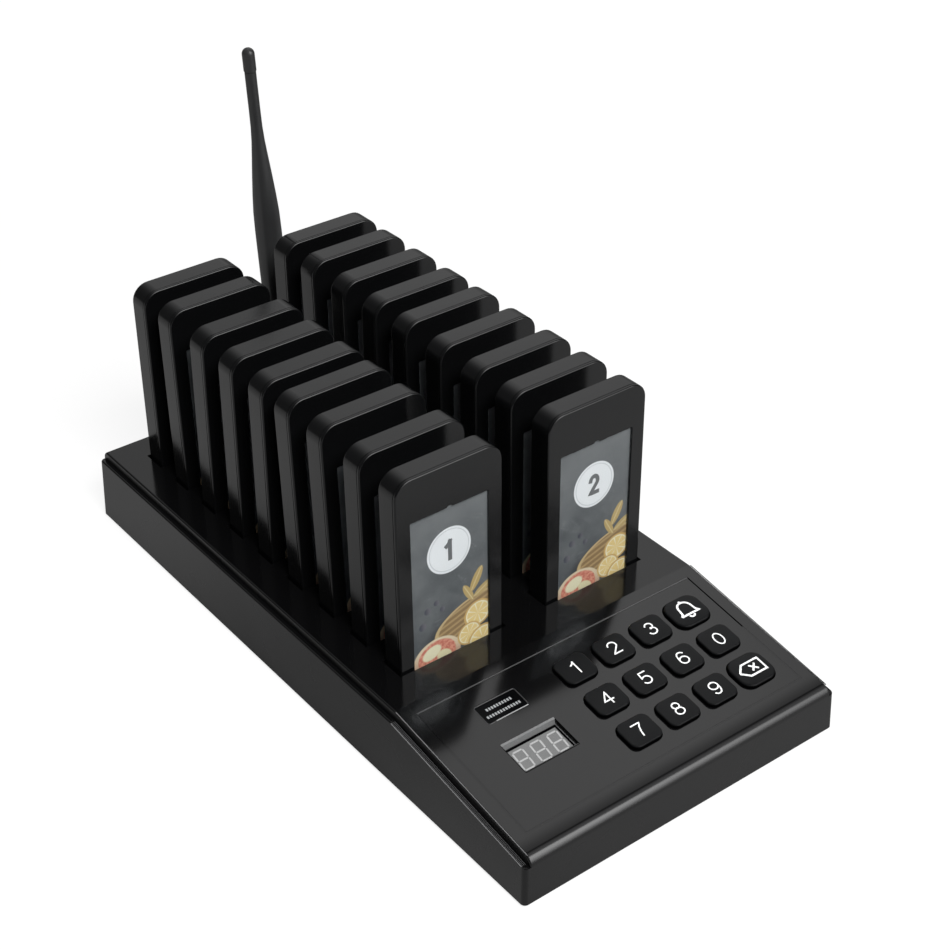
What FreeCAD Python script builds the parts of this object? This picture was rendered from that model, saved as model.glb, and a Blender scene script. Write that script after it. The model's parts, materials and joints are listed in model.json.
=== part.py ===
import FreeCAD, Part
import os

import Sketcher

# Guest pager system: a charging base with a sloped keypad panel, eighteen pagers standing in two
# columns of slots, and a folding aerial on the rear wall. Millimetres, +Z up, -Y towards the user,
# origin at the centre of the base's footprint, on the table.

SIZES = {
    # Base housing.
    "base_length": 302.8,
    "base_width": 153.4,
    "base_height": 33.5,
    "foot_height": 1.0,
    "draft_angle": 2.0,
    "wall": 2.4,
    "deck": 2.2,
    "panel_run": 80.3,
    "panel_angle": 8.6,
    "corner_round": 2.0,
    "front_round": 4.5,
    "rear_round": 3.5,
    "edge_round": 0.8,
    "ledge_inset": 3.2,
    "ledge_drop": 3.9,
    "rim_land": 1.2,
    "plate_thickness": 2.0,
    "plate_gap": 0.2,
    "post_width": 5.0,
    # Slots, their wells and the pagers.
    "pager_width": 48.4,
    "pager_thickness": 10.4,
    "pager_height": 104.2,
    "pager_corner": 7.5,
    "pager_foot_chamfer": 3.0,
    "slot_margin": 41.65,
    "rear_margin": 17.7,
    "pager_setback": 15.2,
    "slot_depth": 20.0,
    "slot_side_gap": 1.0,
    "slot_face_gap": 0.95,
    "slot_floor_gap": 0.7,
    "well_wall": 1.6,
    "contact_opening_width": 18.0,
    "contact_opening_depth": 4.4,
    "cover_front": 1.2,
    "cover_lip": 0.4,
    "cover_lip_inset": 0.35,
    "cover_wall": 1.5,
    "window_width": 35.7,
    "window_foot_margin": 7.4,
    "window_top_margin": 18.8,
    "notch_width": 5.0,
    "notch_height": 1.1,
    "card_thickness": 0.35,
    "lens_thickness": 0.8,
    "lens_recess": 0.25,
    "fit_gap": 0.1,
    "inner_gap": 2.0,
    "battery_height": 42.0,
    "battery_raise": 12.0,
    "motor_radius": 4.0,
    "motor_length": 2.7,
    "motor_drop": 8.0,
    "pager_board": 1.0,
    "pad_width": 5.0,
    "pad_thickness": 0.3,
    "leaf_width": 3.0,
    "leaf_thickness": 0.8,
    "leaf_gap": 0.3,
    "charger_drop": 3.9,
    # Control panel.
    "key_space": 4.27,
    "key_depth": 12.8,
    "key_corner": 3.2,
    "command_space": 2.07,
    "command_depth": 15.0,
    "command_corner": 5.0,
    "key_rise": 1.7,
    "key_gap": 0.35,
    "key_flange": 1.1,
    "key_flange_thickness": 1.2,
    "key_travel": 1.2,
    "key_pitch_share": 0.12432,
    "key_pitch_down": 18.5,
    "key_margin": 23.19,
    "key_first_down": 20.3,
    "outline_margin": 8.9,
    "outline_top": 5.2,
    "outline_depth": 65.7,
    "outline_groove": 0.7,
    "outline_groove_depth": 0.4,
    "display_margin": 38.55,
    "display_down": 42.0,
    "display_opening_width": 25.2,
    "display_opening_depth": 14.9,
    "display_sink": 5.4,
    "display_module_width": 22.8,
    "display_module_depth": 14.2,
    "display_module_height": 7.2,
    "display_skirt": 1.2,
    "badge_margin": 38.1,
    "badge_down": 19.3,
    "badge_width": 19.6,
    "badge_depth": 10.1,
    "badge_corner": 1.8,
    "badge_recess": 1.1,
    "badge_thickness": 0.7,
    "board_thickness": 1.6,
    "mat_margin": 2.4,
    "mat_gap": 0.3,
    # Rear wall: aerial and power inlet.
    "socket_height": 17.0,
    "aerial_margin": 43.9,
    "aerial_lean": 2.5,
    "stem_radius": 3.1,
    "stem_reach": 8.0,
    "stem_nut_across_flats": 8.0,
    "stem_nut_thickness": 2.0,
    "collar_radius": 4.7,
    "collar_start": 2.4,
    "collar_length": 6.6,
    "hinge_reach": 16.4,
    "hinge_pin_radius": 1.5,
    "tongue_radius": 4.6,
    "tongue_thickness": 5.2,
    "mast_root_radius": 6.1,
    "mast_rod_radius": 2.55,
    "mast_tip_radius": 2.8,
    "mast_length": 176.0,
    "mast_sleeve_length": 96.0,
    "mast_taper_length": 42.0,
    "mast_cap_length": 10.5,
    "mast_slot_depth": 5.8,
    "fork_gap": 0.2,
    "running_gap": 0.05,
    "inlet_margin": 43.7,
    "inlet_width": 9.0,
    "inlet_depth": 10.0,
    "inlet_radius": 2.9,
    "inlet_pin_radius": 1.0,
    "radio_width": 26.0,
    "shield_width": 16.0,
    "shield_thickness": 2.0,
    # Fasteners and feet.
    "boss_width": 6.4,
    "boss_margin": 7.0,
    "screw_radius": 1.25,
    "screw_head_radius": 2.7,
    "screw_head_height": 0.8,
    "screw_length": 9.0,
    "foot_radius": 6.0,
    "foot_inset": 20.0,
}

PAGERS_PER_COLUMN = 9
SCREW_ROWS = (0.075, 0.5, 0.955)
# How far each pager tips back in its slot, in degrees, from the front of the base to the rear.
LEANS = {
    "left": (0.5, 0.4, 1.8, 1.6, -1.2, -1.5, -1.8, 0.5, -0.5),
    "right": (0.3, 0.3, 0.0, 0.2, 1.0, 0.0, 0.2, 0.8, 0.0),
}
DIGIT_KEYS = {
    "key_1": (0, 0), "key_2": (1, 0), "key_3": (2, 0),
    "key_4": (0, 1), "key_5": (1, 1), "key_6": (2, 1), "key_0": (3, 1),
    "key_7": (0, 2), "key_8": (1, 2), "key_9": (2, 2),
}
COMMAND_KEYS = {"key_call": (3, 0), "key_delete": (3, 2)}
LAST_COLUMN, LAST_ROW = 3, 2

# Places worked out from the sizes, as expressions.
HALF_LENGTH = "sizes.base_length / 2"
HALF_WIDTH = "sizes.base_width / 2"
KINK = "(sizes.panel_run - sizes.base_length / 2)"
SLOPE = "tan(sizes.panel_angle)"
BEYOND = 20
SIDES = {"left": -1, "right": 1}
COLUMN_OFFSET = f"({HALF_WIDTH} - sizes.slot_margin)"
PAGER_PITCH = (f"((sizes.base_length - sizes.panel_run - sizes.pager_setback - sizes.pager_thickness"
               f" - sizes.rear_margin) / {PAGERS_PER_COLUMN - 1})")
KEY_PITCH = "(sizes.base_width * sizes.key_pitch_share)"
KEY_WIDTH = f"({KEY_PITCH} - sizes.key_space)"
COMMAND_WIDTH = f"({KEY_PITCH} - sizes.command_space)"
OUTLINE_WIDTH = "(sizes.base_width - 2 * sizes.outline_margin)"
DISPLAY_ACROSS = f"(sizes.display_margin - {HALF_WIDTH})"
BADGE_ACROSS = f"(sizes.badge_margin - {HALF_WIDTH})"
AERIAL_ACROSS = f"({HALF_WIDTH} - sizes.aerial_margin)"
INLET_ACROSS = f"(sizes.inlet_margin - {HALF_WIDTH})"
SLOT_WIDTH = "(sizes.pager_width + 2 * sizes.slot_side_gap)"
SLOT_LENGTH = "(sizes.pager_thickness + 2 * sizes.slot_face_gap)"
SLOT_FLOOR = "(sizes.base_height - sizes.slot_depth)"
PAGER_BOTTOM = "(sizes.slot_floor_gap - sizes.slot_depth)"
PAGER_TOP = "(sizes.slot_floor_gap - sizes.slot_depth + sizes.pager_height)"
PAGER_FRONT = "(-sizes.pager_thickness / 2)"
COVER_DEPTH = "(sizes.cover_front + sizes.cover_lip)"
WINDOW_TOP = f"({PAGER_TOP} - sizes.window_top_margin)"
WINDOW_FOOT = f"({PAGER_BOTTOM} + sizes.window_foot_margin)"
TOP_HALF_WIDTH = "(sizes.base_width / 2 - sizes.ledge_inset)"
REAR_WALL = "(sizes.base_length / 2 - (sizes.socket_height - sizes.foot_height) * tan(sizes.draft_angle))"
KEY_FLANGE_TOP = "(-sizes.deck - sizes.key_gap)"
MAT_TOP = "(-sizes.deck)"
BOARD_TOP = f"({KEY_FLANGE_TOP} - sizes.key_flange_thickness - sizes.key_travel - sizes.key_gap)"
PLATE_TOP = "(sizes.foot_height + sizes.plate_thickness)"
SCREW_HOLE = "(sizes.screw_radius + 0.1)"
CHARGER_BOTTOM = f"({SLOT_FLOOR} - sizes.well_wall - sizes.charger_drop)"
CHARGER_TOP = f"({CHARGER_BOTTOM} + sizes.board_thickness)"
PAD_BOTTOM = f"({PAGER_BOTTOM} - sizes.pad_thickness)"
SPIGOT_BORE = "(sizes.stem_radius + sizes.running_gap)"
LEAN = "-sizes.aerial_lean"
DISPLAY_FOOT = "(-sizes.display_sink - sizes.display_module_height)"

doc = FreeCAD.newDocument("guest_pager_system")
sheet = doc.addObject("Spreadsheet::Sheet", "sizes")
for row, (alias, value) in enumerate(SIZES.items(), start=1):
    sheet.set(f"A{row}", alias)
    sheet.set(f"B{row}", str(value))
    sheet.setAlias(f"B{row}", alias)
doc.recompute()


# ---------------------------------------------------------------- ways of making things
def bind(item, **values):
    """Binds properties to expressions; a double underscore stands for a dot."""
    for name, value in values.items():
        item.setExpression(name.replace("__", "."), str(value))
    return item


def place(item, x=0, y=0, z=0):
    return bind(item, Placement__Base__x=x, Placement__Base__y=y, Placement__Base__z=z)


def tilt(item, axis, angle):
    """Turns an item about an axis through its own origin by an angle given as an expression."""
    item.Placement.Rotation = FreeCAD.Rotation(FreeCAD.Vector(*axis), 1)
    return bind(item, Placement__Rotation__Angle=angle)


def box(label, corner, size):
    solid = doc.addObject("Part::Box", label)
    bind(solid, Length=size[0], Width=size[1], Height=size[2])
    return place(solid, *corner)


def centred_box(label, centre, size):
    """A box centred in x and y on a point, rising from its z."""
    corner = (f"{centre[0]} - ({size[0]}) / 2", f"{centre[1]} - ({size[1]}) / 2", centre[2])
    return box(label, corner, size)


def cylinder(label, foot, radius, length, axis="z"):
    """A cylinder from its foot along +Z, +Y or +X."""
    solid = doc.addObject("Part::Cylinder", label)
    turns = {"z": ((0, 0, 1), 0), "y": ((1, 0, 0), -90), "x": ((0, 1, 0), 90)}
    solid.Placement.Rotation = FreeCAD.Rotation(FreeCAD.Vector(*turns[axis][0]), turns[axis][1])
    bind(solid, Radius=radius, Height=length)
    return place(solid, *foot)


def prism(label, foot, radius, length, sides=12):
    """An upright prism with many sides, for small hidden round things."""
    solid = doc.addObject("Part::Prism", label)
    solid.Polygon = sides
    bind(solid, Circumradius=radius, Height=length)
    return place(solid, *foot)


def group(label, *links):
    """Several solids kept together, each its own solid, moved as one."""
    item = doc.addObject("Part::Compound", label)
    item.Links = list(links)
    return item


def cut(label, base, tool):
    item = doc.addObject("Part::Cut", label)
    item.Base = base
    item.Tool = tool
    return item


def fuse(label, *shapes):
    item = doc.addObject("Part::MultiFuse", label)
    item.Shapes = list(shapes)
    item.Refine = True
    return item


def origin_plane(body, role):
    return next(part for part in body.Origin.OriginFeatures if part.Role == role)


def outline(body, label, role, corners, offset=(0, 0, 0)):
    """A closed sketch of straight lines through corners, each coordinate bound to an expression."""
    sketch = body.newObject("Sketcher::SketchObject", label)
    sketch.AttachmentSupport = (origin_plane(body, role), [""])
    sketch.MapMode = "FlatFace"
    for name, value in zip("xyz", offset):
        sketch.setExpression(f"AttachmentOffset.Base.{name}", str(value))
    count = len(corners)
    turn = 360 / count
    start = [FreeCAD.Rotation(FreeCAD.Vector(0, 0, 1), turn * i).multVec(FreeCAD.Vector(-30, -30, 0))
             for i in range(count)]
    for i in range(count):
        sketch.addGeometry(Part.LineSegment(start[i], start[(i + 1) % count]))
    for i in range(count):
        sketch.addConstraint(Sketcher.Constraint("Coincident", i, 2, (i + 1) % count, 1))
    for i, (across, up) in enumerate(corners):
        for kind, value, first in (("DistanceX", across, start[i].x), ("DistanceY", up, start[i].y)):
            index = sketch.addConstraint(Sketcher.Constraint(kind, -1, 1, i, 1, first))
            sketch.setExpression(f"Constraints[{index}]", str(value))
    return sketch


def rectangle(body, label, role, low, high, offset=(0, 0, 0)):
    corners = [(low[0], low[1]), (high[0], low[1]), (high[0], high[1]), (low[0], high[1])]
    return outline(body, label, role, corners, offset)


def feature(body, kind, label, sketch, length=None, **settings):
    """A pad, pocket, revolution or groove of a sketch, recomputed at once."""
    item = body.newObject(f"PartDesign::{kind}", label)
    item.Profile = sketch
    for name, value in settings.items():
        setattr(item, name, value)
    if length is not None:
        item.setExpression("Length", str(length))
    sketch.Visibility = False
    doc.recompute()
    return item


def dress(body, kind, label, size, choose):
    """A fillet or chamfer on the edges of the body's tip that a test picks out."""
    base = body.Tip
    names = [f"Edge{i}" for i, edge in enumerate(base.Shape.Edges, start=1) if choose(edge)]
    item = body.newObject(f"PartDesign::{kind}", label)
    item.Base = (base, names)
    item.setExpression("Radius" if kind == "Fillet" else "Size", str(size))
    doc.recompute()
    return item


def new_body(label):
    return doc.addObject("PartDesign::Body", label)


def value_of(alias):
    return float(sheet.get(alias))


def runs_along(edge, axis):
    """Whether a straight edge lies within about six degrees of an axis."""
    if len(edge.Vertexes) != 2:
        return False
    run = edge.Vertexes[1].Point - edge.Vertexes[0].Point
    return run.Length > 0 and abs(run.normalize().dot(FreeCAD.Vector(*axis))) > 0.994


def on_level(edge, level, index=2):
    """Whether both ends of an edge lie at one height, or at one place along another axis."""
    return all(abs(vertex.Point[index] - level) < 1e-4 for vertex in edge.Vertexes)


# ---------------------------------------------------------------- housing
def side_profile(body, label, drop, rise_front, rise_rear, ahead, behind, side=0):
    """A side view (Y, Z) that follows the kinked top at a drop below it, front end to rear end.

    rise_front and rise_rear are the heights of the two far corners: above the top for a cut, at the
    floor for a cavity.
    """
    front_run = f"(sizes.panel_run + {ahead})"
    front_y = f"(-sizes.base_length / 2 - {ahead})"
    rear_y = f"({HALF_LENGTH} + {behind})"
    corners = [
        (front_y, rise_front),
        (front_y, f"sizes.base_height - {drop} - {front_run} * {SLOPE}"),
        (KINK, f"sizes.base_height - {drop}"),
        (rear_y, f"sizes.base_height - {drop}"),
        (rear_y, rise_rear),
    ]
    return outline(body, label, "YZ_Plane", corners, offset=(0, 0, side))


def housing_shell():
    """The moulded outside: drafted walls, sloped panel, rounded ends and a stepped ledge on each side."""
    body = new_body("housing_shell")
    block = body.newObject("PartDesign::AdditiveWedge", "housing_block")
    block.AttachmentSupport = (origin_plane(body, "XY_Plane"), [""])
    block.MapMode = "FlatFace"
    block.AttachmentOffset.Rotation = FreeCAD.Rotation(FreeCAD.Vector(1, 0, 0), 90)
    # The wedge narrows along its own Y, which is turned upright; its Z then runs forwards.
    lean_in = "((sizes.base_height - sizes.foot_height) * tan(sizes.draft_angle))"
    bind(block, Xmin=f"-{HALF_WIDTH}", Xmax=HALF_WIDTH, Zmin=f"-{HALF_LENGTH}", Zmax=HALF_LENGTH,
         X2min=f"{lean_in} - {HALF_WIDTH}", X2max=f"{HALF_WIDTH} - {lean_in}",
         Z2min=f"{lean_in} - {HALF_LENGTH}", Z2max=f"{HALF_LENGTH} - {lean_in}",
         Ymin="sizes.foot_height", Ymax="sizes.base_height")
    doc.recompute()
    above = f"(sizes.base_height + {BEYOND})"
    slope = side_profile(body, "slope_profile", 0, above, above, BEYOND, 0)
    # Only the panel side is cut: the profile's flat part lies on the top itself.
    feature(body, "Pocket", "slope_cut", slope, SideType="Symmetric", Type="ThroughAll")
    front_face = -value_of("base_length") / 2
    top = value_of("base_height")
    front_top = lambda edge: (runs_along(edge, (1, 0, 0)) and edge.CenterOfMass.z > top / 4
                              and edge.CenterOfMass.y < front_face + value_of("front_round"))
    dress(body, "Fillet", "front_rounding", "sizes.front_round", front_top)
    rear_top = lambda edge: runs_along(edge, (1, 0, 0)) and on_level(edge, top) and edge.CenterOfMass.y > 0
    dress(body, "Fillet", "rear_rounding", "sizes.rear_round", rear_top)
    for name, sign in (("right", 1), ("left", -1)):
        band = side_profile(body, f"{name}_ledge_profile", "sizes.ledge_drop", above, above,
                            BEYOND, BEYOND, f"{sign} * {TOP_HALF_WIDTH}")
        feature(body, "Pocket", f"{name}_ledge", band, 2 * BEYOND, Reversed=sign > 0)
    shoulder = value_of("base_width") / 2 - value_of("ledge_inset")
    slope = (top - value_of("ledge_drop"), value_of("panel_run") - value_of("base_length") / 2,
             FreeCAD.Units.parseQuantity(f"tan({value_of('panel_angle')})").Value)

    def on_ledge(point):
        level, kink, fall = slope
        return abs(point.z - (level - max(0, kink - point.y) * fall)) < 0.01

    corners = lambda edge: runs_along(edge, (0, 0, 1)) and abs(edge.CenterOfMass.x) > shoulder + 1
    dress(body, "Fillet", "corner_rounding", "sizes.corner_round", corners)
    crests = lambda edge: (on_level(edge, shoulder, 0) or on_level(edge, -shoulder, 0)) and (
        not any(on_ledge(vertex.Point) for vertex in edge.Vertexes) and edge.Length > 1)
    dress(body, "Fillet", "crest_rounding", "sizes.edge_round", crests)
    rims = lambda edge: edge.Length > 20 and all(
        on_ledge(vertex.Point) and abs(vertex.Point.x) > shoulder + 0.1 for vertex in edge.Vertexes)
    dress(body, "Fillet", "rim_rounding", "sizes.edge_round", rims)
    return body


def housing_cavity():
    """The hollow inside: wide up to the ledges, narrower between them up to the deck."""
    body = new_body("housing_cavity")
    wide_drop = "(sizes.ledge_drop + sizes.deck)"
    wide = cavity_profile(body, "wide_cavity_profile", wide_drop)
    feature(body, "Pad", "wide_cavity", wide, "sizes.base_width - 2 * (sizes.wall + sizes.rim_land)",
            SideType="Symmetric")
    narrow = cavity_profile(body, "narrow_cavity_profile", "sizes.deck")
    feature(body, "Pad", "narrow_cavity", narrow, f"2 * ({TOP_HALF_WIDTH} - sizes.wall)",
            SideType="Symmetric")
    return body


def cavity_profile(body, label, drop):
    inset = "(sizes.wall + sizes.rim_land)"
    front_y = f"(-sizes.base_length / 2 + {inset})"
    rear_y = f"({HALF_LENGTH} - {inset})"
    corners = [
        (front_y, 0),
        (front_y, f"sizes.base_height - {drop} - (sizes.panel_run - {inset}) * {SLOPE}"),
        (KINK, f"sizes.base_height - {drop}"),
        (rear_y, f"sizes.base_height - {drop}"),
        (rear_y, 0),
    ]
    return outline(body, label, "YZ_Plane", corners)


def panel_place(item, across=0, down=0):
    """Sets an item built flat about its origin onto the sloped panel, square to it."""
    tilt(item, (1, 0, 0), "sizes.panel_angle")
    return place(item, across, f"{KINK} - ({down}) * cos(sizes.panel_angle)",
                 f"sizes.base_height - ({down}) * sin(sizes.panel_angle)")


def key_column(column):
    return f"({HALF_WIDTH} - sizes.key_margin - {LAST_COLUMN - column} * {KEY_PITCH})"


def key_row(row):
    return f"(sizes.key_first_down + {row} * sizes.key_pitch_down)"


def slot_place(column_sign, row):
    """The middle of a slot's mouth, on the deck."""
    return (f"({column_sign} * {COLUMN_OFFSET})",
            f"({KINK} + sizes.pager_setback + sizes.pager_thickness / 2 + {row} * {PAGER_PITCH})")


SLOTS = [(side, sign, row) for side, sign in SIDES.items() for row in range(PAGERS_PER_COLUMN)]


def rounded_block(label, width, depth, bottom, top, corner):
    """A block about the Z axis with its four upright edges rounded."""
    body = new_body(label)
    sketch = rectangle(body, f"{label}_outline", "XY_Plane", (f"-({width}) / 2", f"-({depth}) / 2"),
                       (f"({width}) / 2", f"({depth}) / 2"), (0, 0, bottom))
    feature(body, "Pad", f"{label}_pad", sketch, f"({top}) - ({bottom})")
    dress(body, "Fillet", f"{label}_corners", corner, lambda edge: runs_along(edge, (0, 0, 1)))
    return body


def screw_places():
    """The screw bosses, in two rows along the side walls, from the front of the base to the rear."""
    places = []
    for sign in (-1, 1):
        for share in SCREW_ROWS:
            places.append((f"({sign} * ({HALF_WIDTH} - sizes.boss_margin))",
                           f"(({share} - 0.5) * sizes.base_length)"))
    return places


def housing():
    """The housing: shell, hollow, slot wells, screw bosses and every opening."""
    hollow = cut("housing_hollow", housing_shell(), housing_cavity())
    wells, slots, floors = [], [], []
    for side, sign, row in SLOTS:
        x, y = slot_place(sign, row)
        well_size = (f"{SLOT_WIDTH} + 2 * sizes.well_wall", f"{SLOT_LENGTH} + 2 * sizes.well_wall")
        well_foot = f"({SLOT_FLOOR} - sizes.well_wall)"
        wells.append(centred_box(f"well_{side}_{row}", (x, y, well_foot),
                                 (*well_size, f"sizes.base_height - sizes.deck / 2 - {well_foot}")))
        slots.append(centred_box(f"slot_{side}_{row}", (x, y, SLOT_FLOOR),
                                 (SLOT_WIDTH, SLOT_LENGTH, f"sizes.slot_depth + {BEYOND}")))
        floors.append(centred_box(f"slot_floor_{side}_{row}", (x, y, f"{well_foot} - 1"),
                                  ("sizes.contact_opening_width", "sizes.contact_opening_depth",
                                   "sizes.well_wall + 2")))
    bosses, bores = [], []
    for number, (x, y) in enumerate(screw_places()):
        roof = f"(sizes.base_height - sizes.deck / 2 - max(0; {KINK} - {y}) * {SLOPE})"
        bosses.append(centred_box(f"boss_{number}", (x, y, PLATE_TOP),
                                  ("sizes.boss_width", "sizes.boss_width", f"{roof} - {PLATE_TOP}")))
        bores.append(prism(f"boss_bore_{number}", (x, y, 0), SCREW_HOLE, f"{PLATE_TOP} + sizes.screw_length"))
    # A sleeve round the display, which its board closes from below.
    skirt = centred_box("display_skirt", (DISPLAY_ACROSS, "-sizes.display_down", DISPLAY_FOOT),
                        ("sizes.display_opening_width + 2 * sizes.display_skirt",
                         "sizes.display_opening_depth + 2 * sizes.display_skirt", f"-1 - {DISPLAY_FOOT}"))
    solid = fuse("housing_solid", hollow, *wells, *bosses, panel_place(group("display_skirt_set", skirt)))
    panel_tools = panel_place(group("panel_openings", *key_openings(), *panel_recesses()))
    wall_tools = rear_wall_openings()
    tools = group("housing_openings", *slots, *floors, *bores, panel_tools, *wall_tools)
    return cut("housing", solid, tools)


def key_openings():
    """One opening per key, a running gap larger all round than the key."""
    openings = []
    digit = rounded_block("digit_opening", f"{KEY_WIDTH} + 2 * sizes.key_gap",
                          "sizes.key_depth + 2 * sizes.key_gap", f"-{BEYOND} / 4", BEYOND,
                          "sizes.key_corner + sizes.key_gap")
    command = rounded_block("command_opening", f"{COMMAND_WIDTH} + 2 * sizes.key_gap",
                            "sizes.command_depth + 2 * sizes.key_gap", f"-{BEYOND} / 4", BEYOND,
                            "sizes.command_corner + sizes.key_gap")
    for keys, tool in ((DIGIT_KEYS, digit), (COMMAND_KEYS, command)):
        for name, (column, row) in keys.items():
            openings.append(place(group(f"{name}_opening", tool), key_column(column), f"-{key_row(row)}"))
    return openings


def panel_recesses():
    """The display's window, the badge's recess and the thin line that frames the panel."""
    window = centred_box("display_window", (DISPLAY_ACROSS, "-sizes.display_down",
                                            f"{DISPLAY_FOOT} - 1"),
                         ("sizes.display_opening_width", "sizes.display_opening_depth", 2 * BEYOND))
    recess = place(group("badge_recess", rounded_block(
        "badge_recess_tool", "sizes.badge_width", "sizes.badge_depth", "-sizes.badge_recess", BEYOND,
        "sizes.badge_corner")), BADGE_ACROSS, "-sizes.badge_down")
    centre = "(-sizes.outline_top - sizes.outline_depth / 2)"
    outer = centred_box("outline_outer", ("0", centre, "-sizes.outline_groove_depth"),
                        (OUTLINE_WIDTH, "sizes.outline_depth", "2 * sizes.outline_groove_depth"))
    inner = centred_box("outline_inner", ("0", centre, "-2 * sizes.outline_groove_depth"),
                        (f"{OUTLINE_WIDTH} - 2 * sizes.outline_groove",
                         "sizes.outline_depth - 2 * sizes.outline_groove", "4 * sizes.outline_groove_depth"))
    return [window, recess, cut("outline_groove_tool", outer, inner)]


def rear_wall_openings():
    start = f"({HALF_LENGTH} - {BEYOND} / 2)"
    stem = cylinder("stem_opening", (AERIAL_ACROSS, start, "sizes.socket_height"),
                    "sizes.stem_radius + 0.2", 2 * BEYOND, "y")
    inlet = cylinder("inlet_opening", (INLET_ACROSS, start, "sizes.socket_height"),
                     "sizes.inlet_radius + 0.4", 2 * BEYOND, "y")
    return [stem, inlet]


# ---------------------------------------------------------------- base plate, feet and screws
def base_plate():
    """The flat plate that closes the housing from below, with screw holes and posts for the boards."""
    inset = "(sizes.wall + sizes.rim_land + sizes.plate_gap)"
    plate = centred_box("plate_blank", ("0", "0", "sizes.foot_height"),
                        (f"sizes.base_width - 2 * {inset}", f"sizes.base_length - 2 * {inset}",
                         "sizes.plate_thickness"))
    posts = []
    for sign in (-1, 1):
        for end in (0.5, PAGERS_PER_COLUMN - 1.5):
            x, y = slot_place(sign, end)
            posts.append(centred_box(f"board_post_{len(posts)}", (x, y, "sizes.foot_height"),
                                     ("sizes.post_width", "sizes.post_width",
                                      f"{CHARGER_BOTTOM} - sizes.foot_height")))
    holes = [prism(f"plate_hole_{number}", (x, y, 0), SCREW_HOLE, BEYOND)
             for number, (x, y) in enumerate(screw_places())]
    return cut("base_plate", fuse("plate_with_posts", plate, *posts), group("plate_holes", *holes))


def housing_screws():
    """The screws that hold the plate up to the housing's bosses, heads below the plate."""
    pieces = []
    for number, (x, y) in enumerate(screw_places()):
        head = prism(f"screw_head_{number}", (x, y, "sizes.foot_height - sizes.screw_head_height"),
                     "sizes.screw_head_radius", "sizes.screw_head_height")
        shank = prism(f"screw_shank_{number}", (x, y, "sizes.foot_height - sizes.screw_head_height / 2"),
                      "sizes.screw_radius", "sizes.screw_length")
        pieces.append(fuse(f"screw_{number}", head, shank))
    return group("housing_screws", *pieces)


def turn(body, label, profile, axis, kind="Revolution"):
    item = body.newObject(f"PartDesign::{kind}", label)
    item.Profile = profile
    item.ReferenceAxis = (profile, [axis])
    item.Angle = 360
    profile.Visibility = False
    doc.recompute()
    return item


def rubber_feet():
    """Four feet near the corners and one at the origin, under the middle of the plate."""
    feet = []
    for sign_x, sign_y in ((-1, -1), (1, -1), (-1, 1), (1, 1), (0, 0)):
        x = f"{sign_x} * ({HALF_WIDTH} - sizes.foot_inset)"
        y = f"{sign_y} * ({HALF_LENGTH} - sizes.foot_inset)"
        feet.append(prism(f"foot_{len(feet)}", (x, y, 0), "sizes.foot_radius", "sizes.foot_height", 16))
    return group("rubber_feet", *feet)


# ---------------------------------------------------------------- boards and contacts inside the base
def charging_boards():
    """One long board under each column of slots."""
    boards = []
    for side, sign in SIDES.items():
        x, y = slot_place(sign, (PAGERS_PER_COLUMN - 1) / 2)
        length = f"({PAGERS_PER_COLUMN - 1} * {PAGER_PITCH} + {SLOT_LENGTH})"
        boards.append(centred_box(f"charging_board_{side}", (x, y, CHARGER_BOTTOM),
                                  ("sizes.pager_width * 0.7", length, "sizes.board_thickness")))
    return group("charging_boards", *boards)


def charge_contacts():
    """Two sprung leaves under each slot, standing on the charging board and ending just under the pager."""
    leaves = []
    for side, sign, row in SLOTS:
        x, y = slot_place(sign, row)
        for end in (-1, 1):
            foot = (f"{x} + {end} * sizes.contact_opening_width / 3", y, CHARGER_TOP)
            reach = f"sizes.base_height + {PAD_BOTTOM} - sizes.leaf_gap - {CHARGER_TOP}"
            leaves.append(centred_box(f"leaf_{side}_{row}_{end}", foot,
                                      ("sizes.leaf_width", "sizes.leaf_thickness", reach)))
    return group("charge_contacts", *leaves)


def keypad_sheet(label, bottom, thickness):
    """A flat sheet under the whole keypad, in the panel's own directions."""
    corner = (f"{key_column(0)} - {KEY_WIDTH} / 2 - sizes.mat_margin",
              f"-{key_row(LAST_ROW)} - sizes.command_depth / 2 - sizes.mat_margin", bottom)
    size = (f"{LAST_COLUMN} * {KEY_PITCH} + ({KEY_WIDTH} + {COMMAND_WIDTH}) / 2 + 2 * sizes.mat_margin",
            f"{LAST_ROW} * sizes.key_pitch_down + sizes.command_depth + 2 * sizes.mat_margin", thickness)
    return box(label, corner, size)


def main_board():
    blank = keypad_sheet("main_board_blank", f"{BOARD_TOP} - sizes.board_thickness", "sizes.board_thickness")
    return panel_place(group("main_board", blank))


def keypad_mat():
    """The rubber frame that the keys move in: a sheet with an opening round each key's flange."""
    sheet_blank = keypad_sheet("mat_blank", BOARD_TOP, f"{MAT_TOP} - {BOARD_TOP}")
    holes = []
    for keys, width, depth in ((DIGIT_KEYS, KEY_WIDTH, "sizes.key_depth"),
                               (COMMAND_KEYS, COMMAND_WIDTH, "sizes.command_depth")):
        for name, (column, row) in keys.items():
            size = (f"{width} + 2 * (sizes.key_flange + sizes.mat_gap)",
                    f"{depth} + 2 * (sizes.key_flange + sizes.mat_gap)", BEYOND)
            holes.append(centred_box(f"{name}_mat_hole", (key_column(column), f"-{key_row(row)}",
                                                         f"-{BEYOND} / 2"), size))
    return panel_place(group("keypad_mat", cut("mat_sheet", sheet_blank, group("mat_holes", *holes))))


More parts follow.
